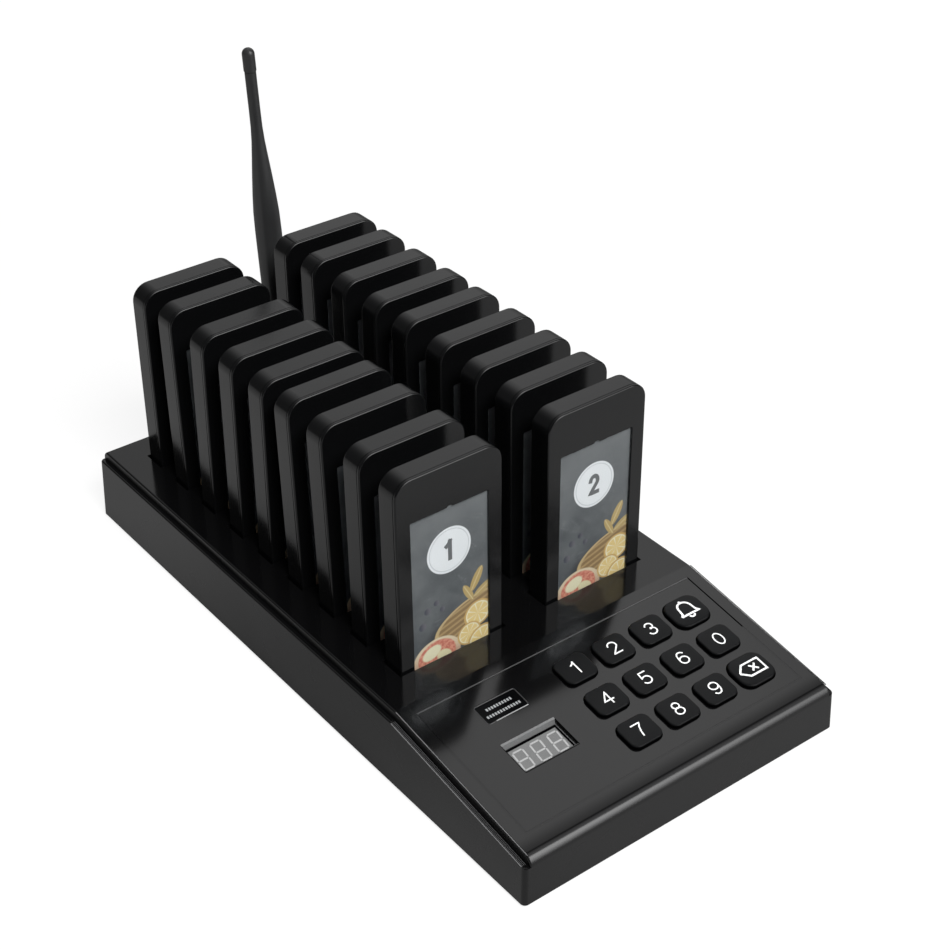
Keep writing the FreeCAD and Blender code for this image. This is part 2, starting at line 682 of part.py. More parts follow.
def display_module():
    """The three-digit display block under the window, on a small board of its own."""
    block = centred_box("display_block", (DISPLAY_ACROSS, "-sizes.display_down", DISPLAY_FOOT),
                        ("sizes.display_module_width", "sizes.display_module_depth",
                         "sizes.display_module_height"))
    board = centred_box("display_board_blank", (DISPLAY_ACROSS, "-sizes.display_down",
                                                f"{DISPLAY_FOOT} - sizes.board_thickness"),
                        ("sizes.display_module_width + 8", "sizes.display_module_depth + 6",
                         "sizes.board_thickness"))
    return panel_place(group("display_module", block)), panel_place(group("display_board", board))


def badge_plate():
    plate = rounded_block("badge_blank", "sizes.badge_width - 2 * sizes.fit_gap",
                          "sizes.badge_depth - 2 * sizes.fit_gap", "-sizes.badge_recess",
                          "sizes.badge_thickness - sizes.badge_recess", "sizes.badge_corner - sizes.fit_gap")
    return panel_place(group("badge_plate", place(group("badge_seated", plate), BADGE_ACROSS,
                                                  "-sizes.badge_down")))


# ---------------------------------------------------------------- keys
def key_master(label, width, depth, corner):
    """A key cap standing through the panel, and under it the wider flange that keeps it in."""
    cap = rounded_block(f"{label}_cap", width, depth, KEY_FLANGE_TOP, "sizes.key_rise", corner)
    flange = centred_box(f"{label}_flange", ("0", "0", f"{KEY_FLANGE_TOP} - sizes.key_flange_thickness"),
                         (f"{width} + 2 * sizes.key_flange", f"{depth} + 2 * sizes.key_flange",
                          "sizes.key_flange_thickness"))
    return cap, flange


def keys():
    digit = key_master("digit_key", KEY_WIDTH, "sizes.key_depth", "sizes.key_corner")
    command = key_master("command_key", COMMAND_WIDTH, "sizes.command_depth", "sizes.command_corner")
    made = []
    for table, master in ((DIGIT_KEYS, digit), (COMMAND_KEYS, command)):
        for name, (column, row) in table.items():
            made.append(panel_place(group(name, *master), key_column(column), key_row(row)))
    return made


# ---------------------------------------------------------------- aerial and power inlet
def lathe(label, points, axis="H_Axis"):
    """A turned solid: points are (along the axis, radius) pairs, revolved about that axis."""
    body = new_body(label)
    profile = outline(body, f"{label}_profile", "YZ_Plane",
                      points if axis == "H_Axis" else [(radius, along) for along, radius in points])
    turn(body, f"{label}_turning", profile, axis)
    return body


def at_aerial(item, lean=0):
    """Sets an item built about the aerial's connector axis onto the rear wall."""
    tilt(item, (0, 1, 0), lean)
    return place(item, AERIAL_ACROSS, REAR_WALL, "sizes.socket_height")


def antenna_jack():
    """The threaded stem through the rear wall, on a square block inside."""
    block = centred_box("jack_block", ("0", "-sizes.wall - 3.6", "-sizes.stem_radius - 1"),
                        ("2 * sizes.stem_radius + 2", 3.8, "2 * sizes.stem_radius + 2"))
    stem = cylinder("jack_stem", (0, "-sizes.wall - 3", 0), "sizes.stem_radius",
                    "sizes.wall + 3 + sizes.stem_reach", "y")
    return at_aerial(group("antenna_jack", fuse("jack_solid", block, stem)))


def antenna_jack_nut():
    """A hexagon nut that draws the stem tight against the wall."""
    hexagon = doc.addObject("Part::Prism", "nut_hexagon")
    hexagon.Polygon = 6
    hexagon.Placement.Rotation = FreeCAD.Rotation(FreeCAD.Vector(1, 0, 0), -90)
    bind(hexagon, Circumradius="sizes.stem_nut_across_flats / 2 / cos(30)", Height="sizes.stem_nut_thickness")
    place(hexagon, 0, 0.2, 0)
    bore = cylinder("nut_bore", (0, -1, 0), SPIGOT_BORE, BEYOND, "y")
    return at_aerial(group("antenna_jack_nut", cut("nut_bored", hexagon, bore)))


def antenna_collar():
    """The round coupling that screws onto the stem and holds the elbow's spigot."""
    end = "(sizes.collar_start + sizes.collar_length)"
    body = lathe("collar_turned", [
        ("sizes.collar_start", SPIGOT_BORE), ("sizes.collar_start", "sizes.collar_radius"),
        (end, "sizes.collar_radius"), (end, SPIGOT_BORE)])
    return at_aerial(group("antenna_collar", body))


def antenna_elbow():
    """The elbow: a spigot that turns in the collar, a round shoulder and a tongue with the hinge bore."""
    start = "(sizes.collar_start + sizes.collar_length)"
    shoulder = lathe("elbow_shoulder", [
        ("sizes.stem_reach + 0.3", 0), ("sizes.stem_reach + 0.3", "sizes.stem_radius"),
        (f"{start} + 0.3", "sizes.stem_radius"),
        (f"{start} + 0.3", "sizes.collar_radius"), (f"{start} + 1.3", "sizes.collar_radius"),
        (f"{start} + 1.3", 0)])
    tongue_end = cylinder("tongue_end", ("-sizes.tongue_thickness / 2", "sizes.hinge_reach", 0),
                          "sizes.tongue_radius", "sizes.tongue_thickness", "x")
    neck = centred_box("tongue_neck",
                       ("0", f"({start} + 1 + sizes.hinge_reach) / 2", "-sizes.tongue_radius * 0.8"),
                       ("sizes.tongue_thickness", f"sizes.hinge_reach - {start} - 1",
                        "sizes.tongue_radius * 1.6"))
    bore = cylinder("tongue_bore", (-BEYOND, "sizes.hinge_reach", 0), "sizes.hinge_pin_radius",
                    2 * BEYOND, "x")
    solid = cut("elbow_solid", fuse("elbow_fused", shoulder, tongue_end, neck), bore)
    return at_aerial(group("antenna_elbow", solid), LEAN)


def antenna_hinge_pin():
    half = "(sizes.mast_root_radius - 0.4)"
    pin = cylinder("hinge_pin_blank", (f"-{half}", "sizes.hinge_reach", 0), "sizes.hinge_pin_radius",
                   f"2 * {half}", "x")
    return at_aerial(group("antenna_hinge_pin", pin), LEAN)


def antenna_mast():
    """The mast: forked root, thick sleeve, a long curved taper to a thin rod and a domed cap."""
    body = new_body("mast_turned")
    root = "-sizes.tongue_radius"
    top = "sizes.mast_length"
    cap = "(sizes.mast_length - sizes.mast_cap_length)"
    taper = "sizes.mast_taper_length"
    step = "(sizes.mast_root_radius - sizes.mast_rod_radius)"
    sleeve = "sizes.mast_sleeve_length"
    points = [(0, root), ("sizes.mast_root_radius * 0.7", root),
              ("sizes.mast_root_radius", f"{root} * 0.4"), ("sizes.mast_root_radius", sleeve)]
    # The taper eases off where it meets the rod.
    points += [(f"sizes.mast_root_radius - 0.92 * {step}", f"{sleeve} + 0.85 * {taper}"),
               ("sizes.mast_rod_radius", f"{sleeve} + {taper}"), ("sizes.mast_rod_radius", cap),
               ("sizes.mast_tip_radius", cap),
               ("sizes.mast_tip_radius", f"{top} - sizes.mast_tip_radius * 0.5"),
               ("sizes.mast_tip_radius * 0.5", top), (0, top)]
    turn(body, "mast_turning", outline(body, "mast_profile", "XZ_Plane", points), "V_Axis")
    gap = "(sizes.tongue_thickness + 2 * sizes.fork_gap)"
    slot = centred_box("fork_slot", ("0", "0", -BEYOND), (gap, BEYOND, f"{BEYOND} + sizes.mast_slot_depth"))
    bore = cylinder("fork_bore", (-BEYOND, 0, 0), "sizes.hinge_pin_radius + sizes.running_gap",
                    2 * BEYOND, "x")
    forked = place(group("mast_at_hinge", cut("mast_forked", body, group("fork_tools", slot, bore))),
                   0, "sizes.hinge_reach", 0)
    return at_aerial(group("antenna_mast", forked), LEAN)


def power_jack():
    """The power inlet: a block behind the wall with a round socket and its centre pin."""
    block = centred_box("inlet_block",
                        ("0", "-sizes.wall - 1.4 - sizes.inlet_depth / 2", "-sizes.inlet_width / 2"),
                        ("sizes.inlet_width", "sizes.inlet_depth", "sizes.inlet_width"))
    bore = cylinder("inlet_bore", (0, "1 - sizes.inlet_depth", 0), "sizes.inlet_radius", 2 * BEYOND, "y")
    pin = cylinder("inlet_pin", (0, "-sizes.inlet_depth", 0), "sizes.inlet_pin_radius",
                   "sizes.inlet_depth - 3", "y")
    solid = fuse("inlet_solid", cut("inlet_bored", block, bore), pin)
    return place(group("power_jack", solid), INLET_ACROSS, REAR_WALL, "sizes.socket_height")


def radio_module():
    """The radio board on the aerial's stem, with the shield over its chips."""
    behind = "(-sizes.wall - 5.5)"
    board = centred_box("radio_board",
                        ("0", f"{behind} - sizes.board_thickness / 2", "-sizes.socket_height / 2"),
                        ("sizes.radio_width", "sizes.board_thickness", "sizes.socket_height"))
    shield_middle = f"{behind} - sizes.board_thickness - sizes.shield_thickness / 2"
    shield = centred_box("radio_shield", ("0", shield_middle, "-sizes.socket_height / 3"),
                         ("sizes.shield_width", "sizes.shield_thickness", "sizes.socket_height / 1.5"))
    return at_aerial(group("radio_module", board, shield))


# ---------------------------------------------------------------- pagers
def pager_plate(label, inset, start, depth):
    """A plate in the pager's outline, shrunk by an inset, from start backwards.

    Its top corners are round and its foot's corners are cut off, to lead it into the slot.
    """
    body = new_body(label)
    half = f"(sizes.pager_width / 2 - {inset})"
    foot = f"({PAGER_BOTTOM} + {inset})"
    corners = [(f"sizes.pager_foot_chamfer - {half}", foot), (f"{half} - sizes.pager_foot_chamfer", foot),
               (half, f"{foot} + sizes.pager_foot_chamfer"), (half, f"{PAGER_TOP} - {inset}"),
               (f"-{half}", f"{PAGER_TOP} - {inset}"), (f"-{half}", f"{foot} + sizes.pager_foot_chamfer")]
    sketch = outline(body, f"{label}_outline", "XZ_Plane", corners, (0, 0, f"-({start})"))
    feature(body, "Pad", f"{label}_pad", sketch, depth, Reversed=True)
    dress(body, "Fillet", f"{label}_corners", f"sizes.pager_corner - {inset}",
          lambda edge: runs_along(edge, (0, 1, 0)) and edge.CenterOfMass.z > 0)
    return body


def window_cutter():
    """The window's outline with the shallow thumb notch in the middle of its top edge."""
    body = new_body("window_cutter")
    half = "(sizes.window_width / 2)"
    foot = WINDOW_FOOT
    notch = "(sizes.notch_width / 2)"
    corners = [(f"-{half}", foot), (half, foot), (half, WINDOW_TOP), (notch, WINDOW_TOP),
               (f"{notch} * 0.7", f"{WINDOW_TOP} + sizes.notch_height"),
               (f"-{notch} * 0.7", f"{WINDOW_TOP} + sizes.notch_height"), (f"-{notch}", WINDOW_TOP),
               (f"-{half}", WINDOW_TOP)]
    sketch = outline(body, "window_outline", "XZ_Plane", corners)
    feature(body, "Pad", "window_pad", sketch, BEYOND, SideType="Symmetric")
    return body


def front_covers():
    """The front cover with the card's window: a plain one, and one whose lip enters the rear cover."""
    plate = pager_plate("front_plate", 0, PAGER_FRONT, COVER_DEPTH)
    rim = pager_plate("front_rim", 0, PAGER_FRONT, "sizes.cover_front")
    lip = pager_plate("front_lip", "sizes.cover_lip_inset", f"{PAGER_FRONT} + sizes.cover_front / 2",
                      "sizes.cover_front / 2 + sizes.cover_lip")
    window = window_cutter()
    return cut("plain_cover", plate, window), cut("lipped_cover", fuse("lipped_plate", rim, lip), window)


def rear_covers():
    """The rear cover, a deep tray, closed and hollow."""
    start = f"({PAGER_FRONT} + {COVER_DEPTH})"
    tray = pager_plate("rear_tray", 0, start, f"sizes.pager_thickness - {COVER_DEPTH}")
    hollow = pager_plate("rear_hollow", "sizes.cover_wall", f"{start} - 1",
                         f"sizes.pager_thickness - {COVER_DEPTH} - sizes.cover_wall + 1")
    return tray, cut("hollow_tray", tray, hollow)


def pager_masters():
    """Every piece of one pager, about the middle of its slot's mouth."""
    face = PAGER_FRONT
    inner_top = f"({PAGER_TOP} - sizes.cover_wall - sizes.inner_gap)"
    inner_foot = f"({PAGER_BOTTOM} + sizes.cover_wall + sizes.inner_gap)"
    lens_width = "(sizes.window_width - 2 * sizes.fit_gap)"
    lens = box("lens_master",
               (f"-{lens_width} / 2", f"{face} + sizes.lens_recess", f"{WINDOW_FOOT} + sizes.fit_gap"),
               (lens_width, "sizes.lens_thickness", f"{WINDOW_TOP} - {WINDOW_FOOT} - 2 * sizes.fit_gap"))
    card_front = f"({face} + sizes.lens_recess + sizes.lens_thickness + 0.05)"
    card = box("card_master", (f"-{lens_width} / 2", card_front, f"{WINDOW_FOOT} + sizes.fit_gap"),
               (lens_width, "sizes.card_thickness", f"{WINDOW_TOP} - {WINDOW_FOOT} - 2 * sizes.fit_gap"))
    board_front = f"({face} + {COVER_DEPTH} + sizes.fit_gap)"
    board_back = f"({board_front} + sizes.pager_board)"
    board = box("pager_circuit", ("-sizes.pager_width * 0.42", board_front, inner_foot),
                ("sizes.pager_width * 0.84", "sizes.pager_board", f"{inner_top} - {inner_foot}"))
    motor = cylinder("pager_motor",
                     ("sizes.pager_width * 0.3", board_back, f"{inner_top} - sizes.motor_drop"),
                     "sizes.motor_radius", "sizes.motor_length", "y")
    pads = [centred_box(f"charge_pad_{end}", (f"{end} * sizes.contact_opening_width / 3", "0", PAD_BOTTOM),
                        ("sizes.pad_width", "sizes.pad_width", "sizes.pad_thickness")) for end in (-1, 1)]
    battery = centred_box("battery_master", ("0", f"{board_back} + sizes.pager_thickness * 0.22",
                                             f"{inner_foot} + sizes.battery_raise"),
                          ("sizes.pager_width * 0.6", "sizes.pager_thickness * 0.42", "sizes.battery_height"))
    plain_cover, lipped_cover = front_covers()
    tray, hollow_tray = rear_covers()
    pieces = {
        "front_cover": [lipped_cover],
        "rear_cover": [hollow_tray],
        "window": [lens],
        "card": [card],
        "circuit_board": [board, motor, *pads],
        "battery": [battery],
    }
    return pieces, [plain_cover, tray, lens, card]


def pager_place(item, sign, row, lean):
    x, y = slot_place(sign, row)
    tilt(item, (1, 0, 0), -lean)
    return place(item, x, y, "sizes.base_height")


def pagers():
    """The pagers, numbered across and back; the front two have their inner pieces as well."""
    pieces, closed = pager_masters()
    made = []
    for side, sign, row in SLOTS:
        number = 2 * row + (1 if side == "left" else 2)
        lean = LEANS[side][row]
        if row == 0:
            for name, solids in pieces.items():
                made.append(pager_place(group(f"pager_{number}_{name}", *solids), sign, row, lean))
        else:
            made.append(pager_place(group(f"pager_{number}", *closed), sign, row, lean))
    return made


# ---------------------------------------------------------------- the whole document
SUB_PARTS = [
    housing(), base_plate(), housing_screws(), rubber_feet(), charging_boards(), charge_contacts(),
    main_board(), keypad_mat(), *display_module(), badge_plate(), *keys(), antenna_jack(),
    antenna_jack_nut(), antenna_collar(), antenna_elbow(), antenna_hinge_pin(), antenna_mast(),
    power_jack(), radio_module(), *pagers(),
]
doc.recompute()
for item in doc.Objects:
    if "Invalid" in item.State or "Error" in item.State:
        raise RuntimeError(f"{item.Label} failed to compute: {item.State}")
for item in SUB_PARTS:
    if item.Shape.isNull() or not item.Shape.isValid() or not item.Shape.Solids:
        raise RuntimeError(f"{item.Label} has no valid solid")
os.makedirs("parts", exist_ok=True)
for item in SUB_PARTS:
    item.Shape.exportStep(os.path.join("parts", f"{item.Label}.step"))
print(len(SUB_PARTS), "sub-parts,", sum(len(item.Shape.Solids) for item in SUB_PARTS), "solids")
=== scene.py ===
"""Looks of the guest pager system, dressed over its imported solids. Metres, +Z up, -Y towards the user."""
import json
import math

import bmesh
import bpy
from mathutils import Matrix, Vector


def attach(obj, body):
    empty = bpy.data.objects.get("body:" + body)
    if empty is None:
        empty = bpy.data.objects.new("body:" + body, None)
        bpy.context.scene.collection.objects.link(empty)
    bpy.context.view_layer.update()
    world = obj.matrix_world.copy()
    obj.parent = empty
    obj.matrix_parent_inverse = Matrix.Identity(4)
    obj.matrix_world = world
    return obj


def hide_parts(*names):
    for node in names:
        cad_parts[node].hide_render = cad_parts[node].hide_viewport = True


MM = 0.001
PAGERS = 18
BASE = "base"
DISC_Z = 46.3  # height of the card's white disc above the slot's mouth, in millimetres

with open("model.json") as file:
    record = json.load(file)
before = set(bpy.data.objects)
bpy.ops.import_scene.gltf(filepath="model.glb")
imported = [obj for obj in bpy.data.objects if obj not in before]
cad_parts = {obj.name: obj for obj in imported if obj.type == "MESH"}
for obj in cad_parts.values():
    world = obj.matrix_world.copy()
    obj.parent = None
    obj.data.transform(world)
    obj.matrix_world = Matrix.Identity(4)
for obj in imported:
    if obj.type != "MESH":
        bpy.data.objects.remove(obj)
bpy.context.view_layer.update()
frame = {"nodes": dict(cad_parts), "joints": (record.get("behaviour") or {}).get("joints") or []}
nodes = frame["nodes"]
joints = {joint["name"]: joint for joint in frame["joints"]}


def added(name, data):
    """A new object of this data, in the scene."""
    made = bpy.data.objects.new(name, data)
    bpy.context.scene.collection.objects.link(made)
    return made


def axes_at(point, across, back, up):
    """A local frame at a point, from the directions of its X, Y and Z."""
    return Matrix.Translation(point) @ Matrix((across, back, up)).transposed().to_4x4()


# ---------------------------------------------------------------- camera
# Fitted to the photograph: its direction, the point it looks at on the table, its distance and focal length.
AZIMUTH, ELEVATION, ROLL = math.radians(-37.467), math.radians(33.954), math.radians(-0.280)
TARGET, DISTANCE, SENSOR = Vector((74.79, 72.98, 0.0)) * MM, 878.5 * MM, 36
FOCAL_PIXELS, PHOTO_PIXELS = 1885.1, 950


def make_camera():
    data = bpy.data.cameras.new("camera")
    data.sensor_width = SENSOR
    data.lens = FOCAL_PIXELS / PHOTO_PIXELS * SENSOR
    data.clip_start, data.clip_end = 0.01, 50
    camera = added("camera", data)
    back = Vector((math.sin(AZIMUTH) * math.cos(ELEVATION), -math.cos(AZIMUTH) * math.cos(ELEVATION),
                   math.sin(ELEVATION)))
    right = Vector((0, 0, 1)).cross(back).normalized()
    up = back.cross(right)
    across = math.cos(ROLL) * right + math.sin(ROLL) * up
    above = -math.sin(ROLL) * right + math.cos(ROLL) * up
    camera.matrix_world = axes_at(TARGET + back * DISTANCE, across, above, back)
    bpy.context.scene.camera = camera


make_camera()
bpy.context.scene.view_settings.view_transform = "Standard"


# ---------------------------------------------------------------- materials
class Graph:
    """The nodes of a material or a world, made and wired by short calls."""

    def __init__(self, owner):
        owner.use_nodes = True
        self.tree = owner.node_tree
        self.tree.nodes.clear()

    def add(self, kind, **settings):
        node = self.tree.nodes.new(kind)
        for name, value in settings.items():
            setattr(node, name, value)
        return node

    def put(self, socket, value):
        if isinstance(value, bpy.types.NodeSocket):
            self.tree.links.new(value, socket)
        else:
            socket.default_value = value

    def math(self, operation, *values):
        node = self.add("ShaderNodeMath", operation=operation)
        for socket, value in zip(node.inputs, values):
            self.put(socket, value)
        return node.outputs[0]

    def product(self, first, *others):
        for other in others:
            first = self.math("MULTIPLY", first, other)
        return first

    def between(self, value, low, high, start=0.0, end=1.0, kind="SMOOTHSTEP"):
        node = self.add("ShaderNodeMapRange", interpolation_type=kind)
        for socket, item in zip(node.inputs, (value, low, high, start, end)):
            self.put(socket, item)
        return node.outputs[0]

    def parts(self, vector):
        node = self.add("ShaderNodeSeparateXYZ")
        self.put(node.inputs[0], vector)
        return node.outputs

    def mixed(self, share, first, second):
        """One shader's output changed into another's by a share."""
        node = self.add("ShaderNodeMixShader")
        for socket, value in zip(node.inputs, (share, first, second)):
            self.put(socket, value)
        return node.outputs[0]


class Finish(Graph):
    """A material being built from nodes around one Principled shader."""

    def __init__(self, name, **sockets):
        self.material = bpy.data.materials.new(name)
        super().__init__(self.material)
        self.output = self.add("ShaderNodeOutputMaterial")
        self.shader = self.add("ShaderNodeBsdfPrincipled")
        for socket, value in sockets.items():
            self.shader.inputs[socket.replace("_", " ")].default_value = value
        self.put(self.output.inputs["Surface"], self.shader.outputs[0])
        self.coordinates = self.add("ShaderNodeTexCoord").outputs

    def blend(self, share, first, second):
        node = self.add("ShaderNodeMix", data_type="RGBA")
        for index, value in ((0, share), (6, first), (7, second)):
            self.put(node.inputs[index], value)
        return node.outputs[2]

    def ease(self, share, first, second):
        node = self.add("ShaderNodeMix", data_type="FLOAT")
        for index, value in ((0, share), (2, first), (3, second)):
            self.put(node.inputs[index], value)
        return node.outputs[0]

    def noise(self, scale, detail=3.0, stretch=None, roughness=0.5):
        node = self.add("ShaderNodeTexNoise")
        node.inputs["Scale"].default_value = scale
        node.inputs["Detail"].default_value = detail
        node.inputs["Roughness"].default_value = roughness
        where = self.coordinates["Object"]
        if stretch:
            mapping = self.add("ShaderNodeMapping")
            mapping.inputs["Scale"].default_value = stretch
            self.put(mapping.inputs["Vector"], where)
            where = mapping.outputs[0]
        self.put(node.inputs["Vector"], where)
        return node.outputs["Fac"]

    def bump(self, height, depth):
        node = self.add("ShaderNodeBump")
        node.inputs["Distance"].default_value = depth
        self.put(node.inputs["Height"], height)
        self.put(self.shader.inputs["Normal"], node.outputs[0])

    def colour(self, value):
        self.put(self.shader.inputs["Base Color"], value)

    def rough(self, value):
        self.put(self.shader.inputs["Roughness"], value)


def shade(colour, factor):
    return tuple(min(1.0, channel * factor) for channel in colour) + (1.0,)


def moulded(name, colour, roughness, grain=0.15, grain_depth=0.01, spread=0.2, **sockets):
    """Moulded plastic or rubber: a slightly uneven tone, a fine grain and a gloss that wanders."""
    made = Finish(name, **sockets)
    patches = made.noise(45, 2)
    fine = made.noise(1 / (grain * MM), 2)
    tone = made.blend(patches, shade(colour, 1 - spread), shade(colour, 1 + spread))
    made.colour(made.blend(made.between(fine, 0.3, 0.8), tone, shade(colour, 1 + 2 * spread)))
    made.rough(made.math("ADD", made.between(patches, 0.3, 0.7, roughness * 0.85, roughness * 1.1),
                         made.between(fine, 0.3, 0.7, -0.02, 0.02)))
    made.bump(fine, grain_depth * MM)
    return made.material


def shell_finish():
    """Gloss on top, duller at the panel's foot, a painted highlight along the front rounding and satin on the
    walls.
    """
    made = Finish("shell_black")
    facing, place = made.parts(made.coordinates["Normal"]), made.parts(made.coordinates["Object"])
    top = made.between(facing[2], 0.40, 0.85)
    patches = made.noise(22, 2)
    fine = made.noise(5200, 2)
    hairs = made.noise(130, 3, stretch=(1, 26, 1))
    gloss = made.math("ADD", made.between(patches, 0.3, 0.7, 0.105, 0.130),
                      made.between(hairs, 0.62, 0.75, 0.0, 0.03))
    satin = made.between(patches, 0.3, 0.7, 0.24, 0.31)
    made.rough(made.ease(top, satin, gloss))
    foot = made.product(made.between(place[1], -148.0 * MM, -141.0 * MM, 1.0, 0.0),
                        made.between(facing[2], 0.93, 0.98))
    made.put(made.shader.inputs["Specular IOR Level"], made.ease(foot, 0.5, 0.2))
    tone = made.blend(patches, (0.0015, 0.0015, 0.0016, 1), (0.0023, 0.0023, 0.0025, 1))
    tone = made.blend(made.between(fine, 0.35, 0.8), tone, (0.0030, 0.0030, 0.0032, 1))
    # A lighter band where the front rounding faces forward and up: a painted highlight.
    painted_band_highlight = made.between(made.product(facing[1], facing[2]), -0.48, -0.25, 1.0, 0.0)
    made.colour(made.blend(painted_band_highlight, tone, (0.026, 0.026, 0.0265, 1)))
    made.bump(made.product(fine, made.math("SUBTRACT", 1.0, top)), 0.006 * MM)
    return made.material


def key_finish():
    """Matt key rubber, a little greyer on top than down its sides, whose near black is painted shade."""
    made = Finish("key_rubber_black")
    top = made.between(made.parts(made.coordinates["Object"])[2], 0.7 * MM, 1.45 * MM)
    patches, fine = made.noise(60, 2), made.noise(4500, 2)
    tone = made.blend(patches, (0.0040, 0.0042, 0.0045, 1), (0.0054, 0.0056, 0.0060, 1))
    # The sides' near black is painted shade.
    made.colour(made.blend(top, (0.0008, 0.0008, 0.0009, 1), tone))
    made.put(made.shader.inputs["Specular IOR Level"], made.ease(top, 0.01, 0.17))
    made.rough(made.math("ADD", made.between(patches, 0.3, 0.7, 0.38, 0.46),
                         made.between(fine, 0.3, 0.7, -0.02, 0.02)))
    made.bump(fine, 0.014 * MM)
    return made.material


def metal(name, colour, roughness, brushed):
    """Bare metal with fine lines, drawn out as brushed says."""
    made = Finish(name, Metallic=1.0)
    lines = made.noise(900, 4, stretch=brushed)
    made.colour(made.blend(lines, shade(colour, 0.75), shade(colour, 1.1)))
    made.rough(made.between(lines, 0.2, 0.8, roughness * 0.7, roughness * 1.4))
    made.bump(lines, 0.01 * MM)
    return made.material


def board_finish():
    """Solder-mask green with faint copper runs under it."""
    made = Finish("board_mask", Coat_Weight=0.4, Coat_Roughness=0.15)
    runs = made.add("ShaderNodeTexBrick")
    runs.inputs["Scale"].default_value = 260
    for socket, value in (("Color1", (0.01, 0.10, 0.045, 1)), ("Color2", (0.012, 0.13, 0.055, 1)),
                          ("Mortar", (0.03, 0.22, 0.09, 1))):
        runs.inputs[socket].default_value = value
    made.put(runs.inputs["Vector"], made.coordinates["Object"])
    cloud = made.noise(300, 3)
    made.colour(made.blend(made.between(cloud, 0.4, 0.7, 0.0, 0.5), runs.outputs["Color"],
                           (0.008, 0.085, 0.04, 1)))
    made.rough(made.between(cloud, 0.3, 0.7, 0.35, 0.5))
    return made.material


def disc(made, across, up, centre, radius, soft=0.25, squeeze=(1.0, 1.0), turn=0.0):
    """1 inside a turned ellipse and 0 outside, with the reach and both places measured from its centre."""
    c, s = math.cos(math.radians(turn)), math.sin(math.radians(turn))
    dx = made.math("SUBTRACT", across, centre[0])
    dz = made.math("SUBTRACT", up, centre[1])
    u = made.math("ADD", made.product(dx, c / squeeze[0]), made.product(dz, s / squeeze[0]))
    w = made.math("ADD", made.product(dx, -s / squeeze[1]), made.product(dz, c / squeeze[1]))
    reach = made.math("SQRT", made.math("ADD", made.product(u, u), made.product(w, w)))
    return made.between(reach, radius - soft, radius + soft, 1.0, 0.0), reach, u, w


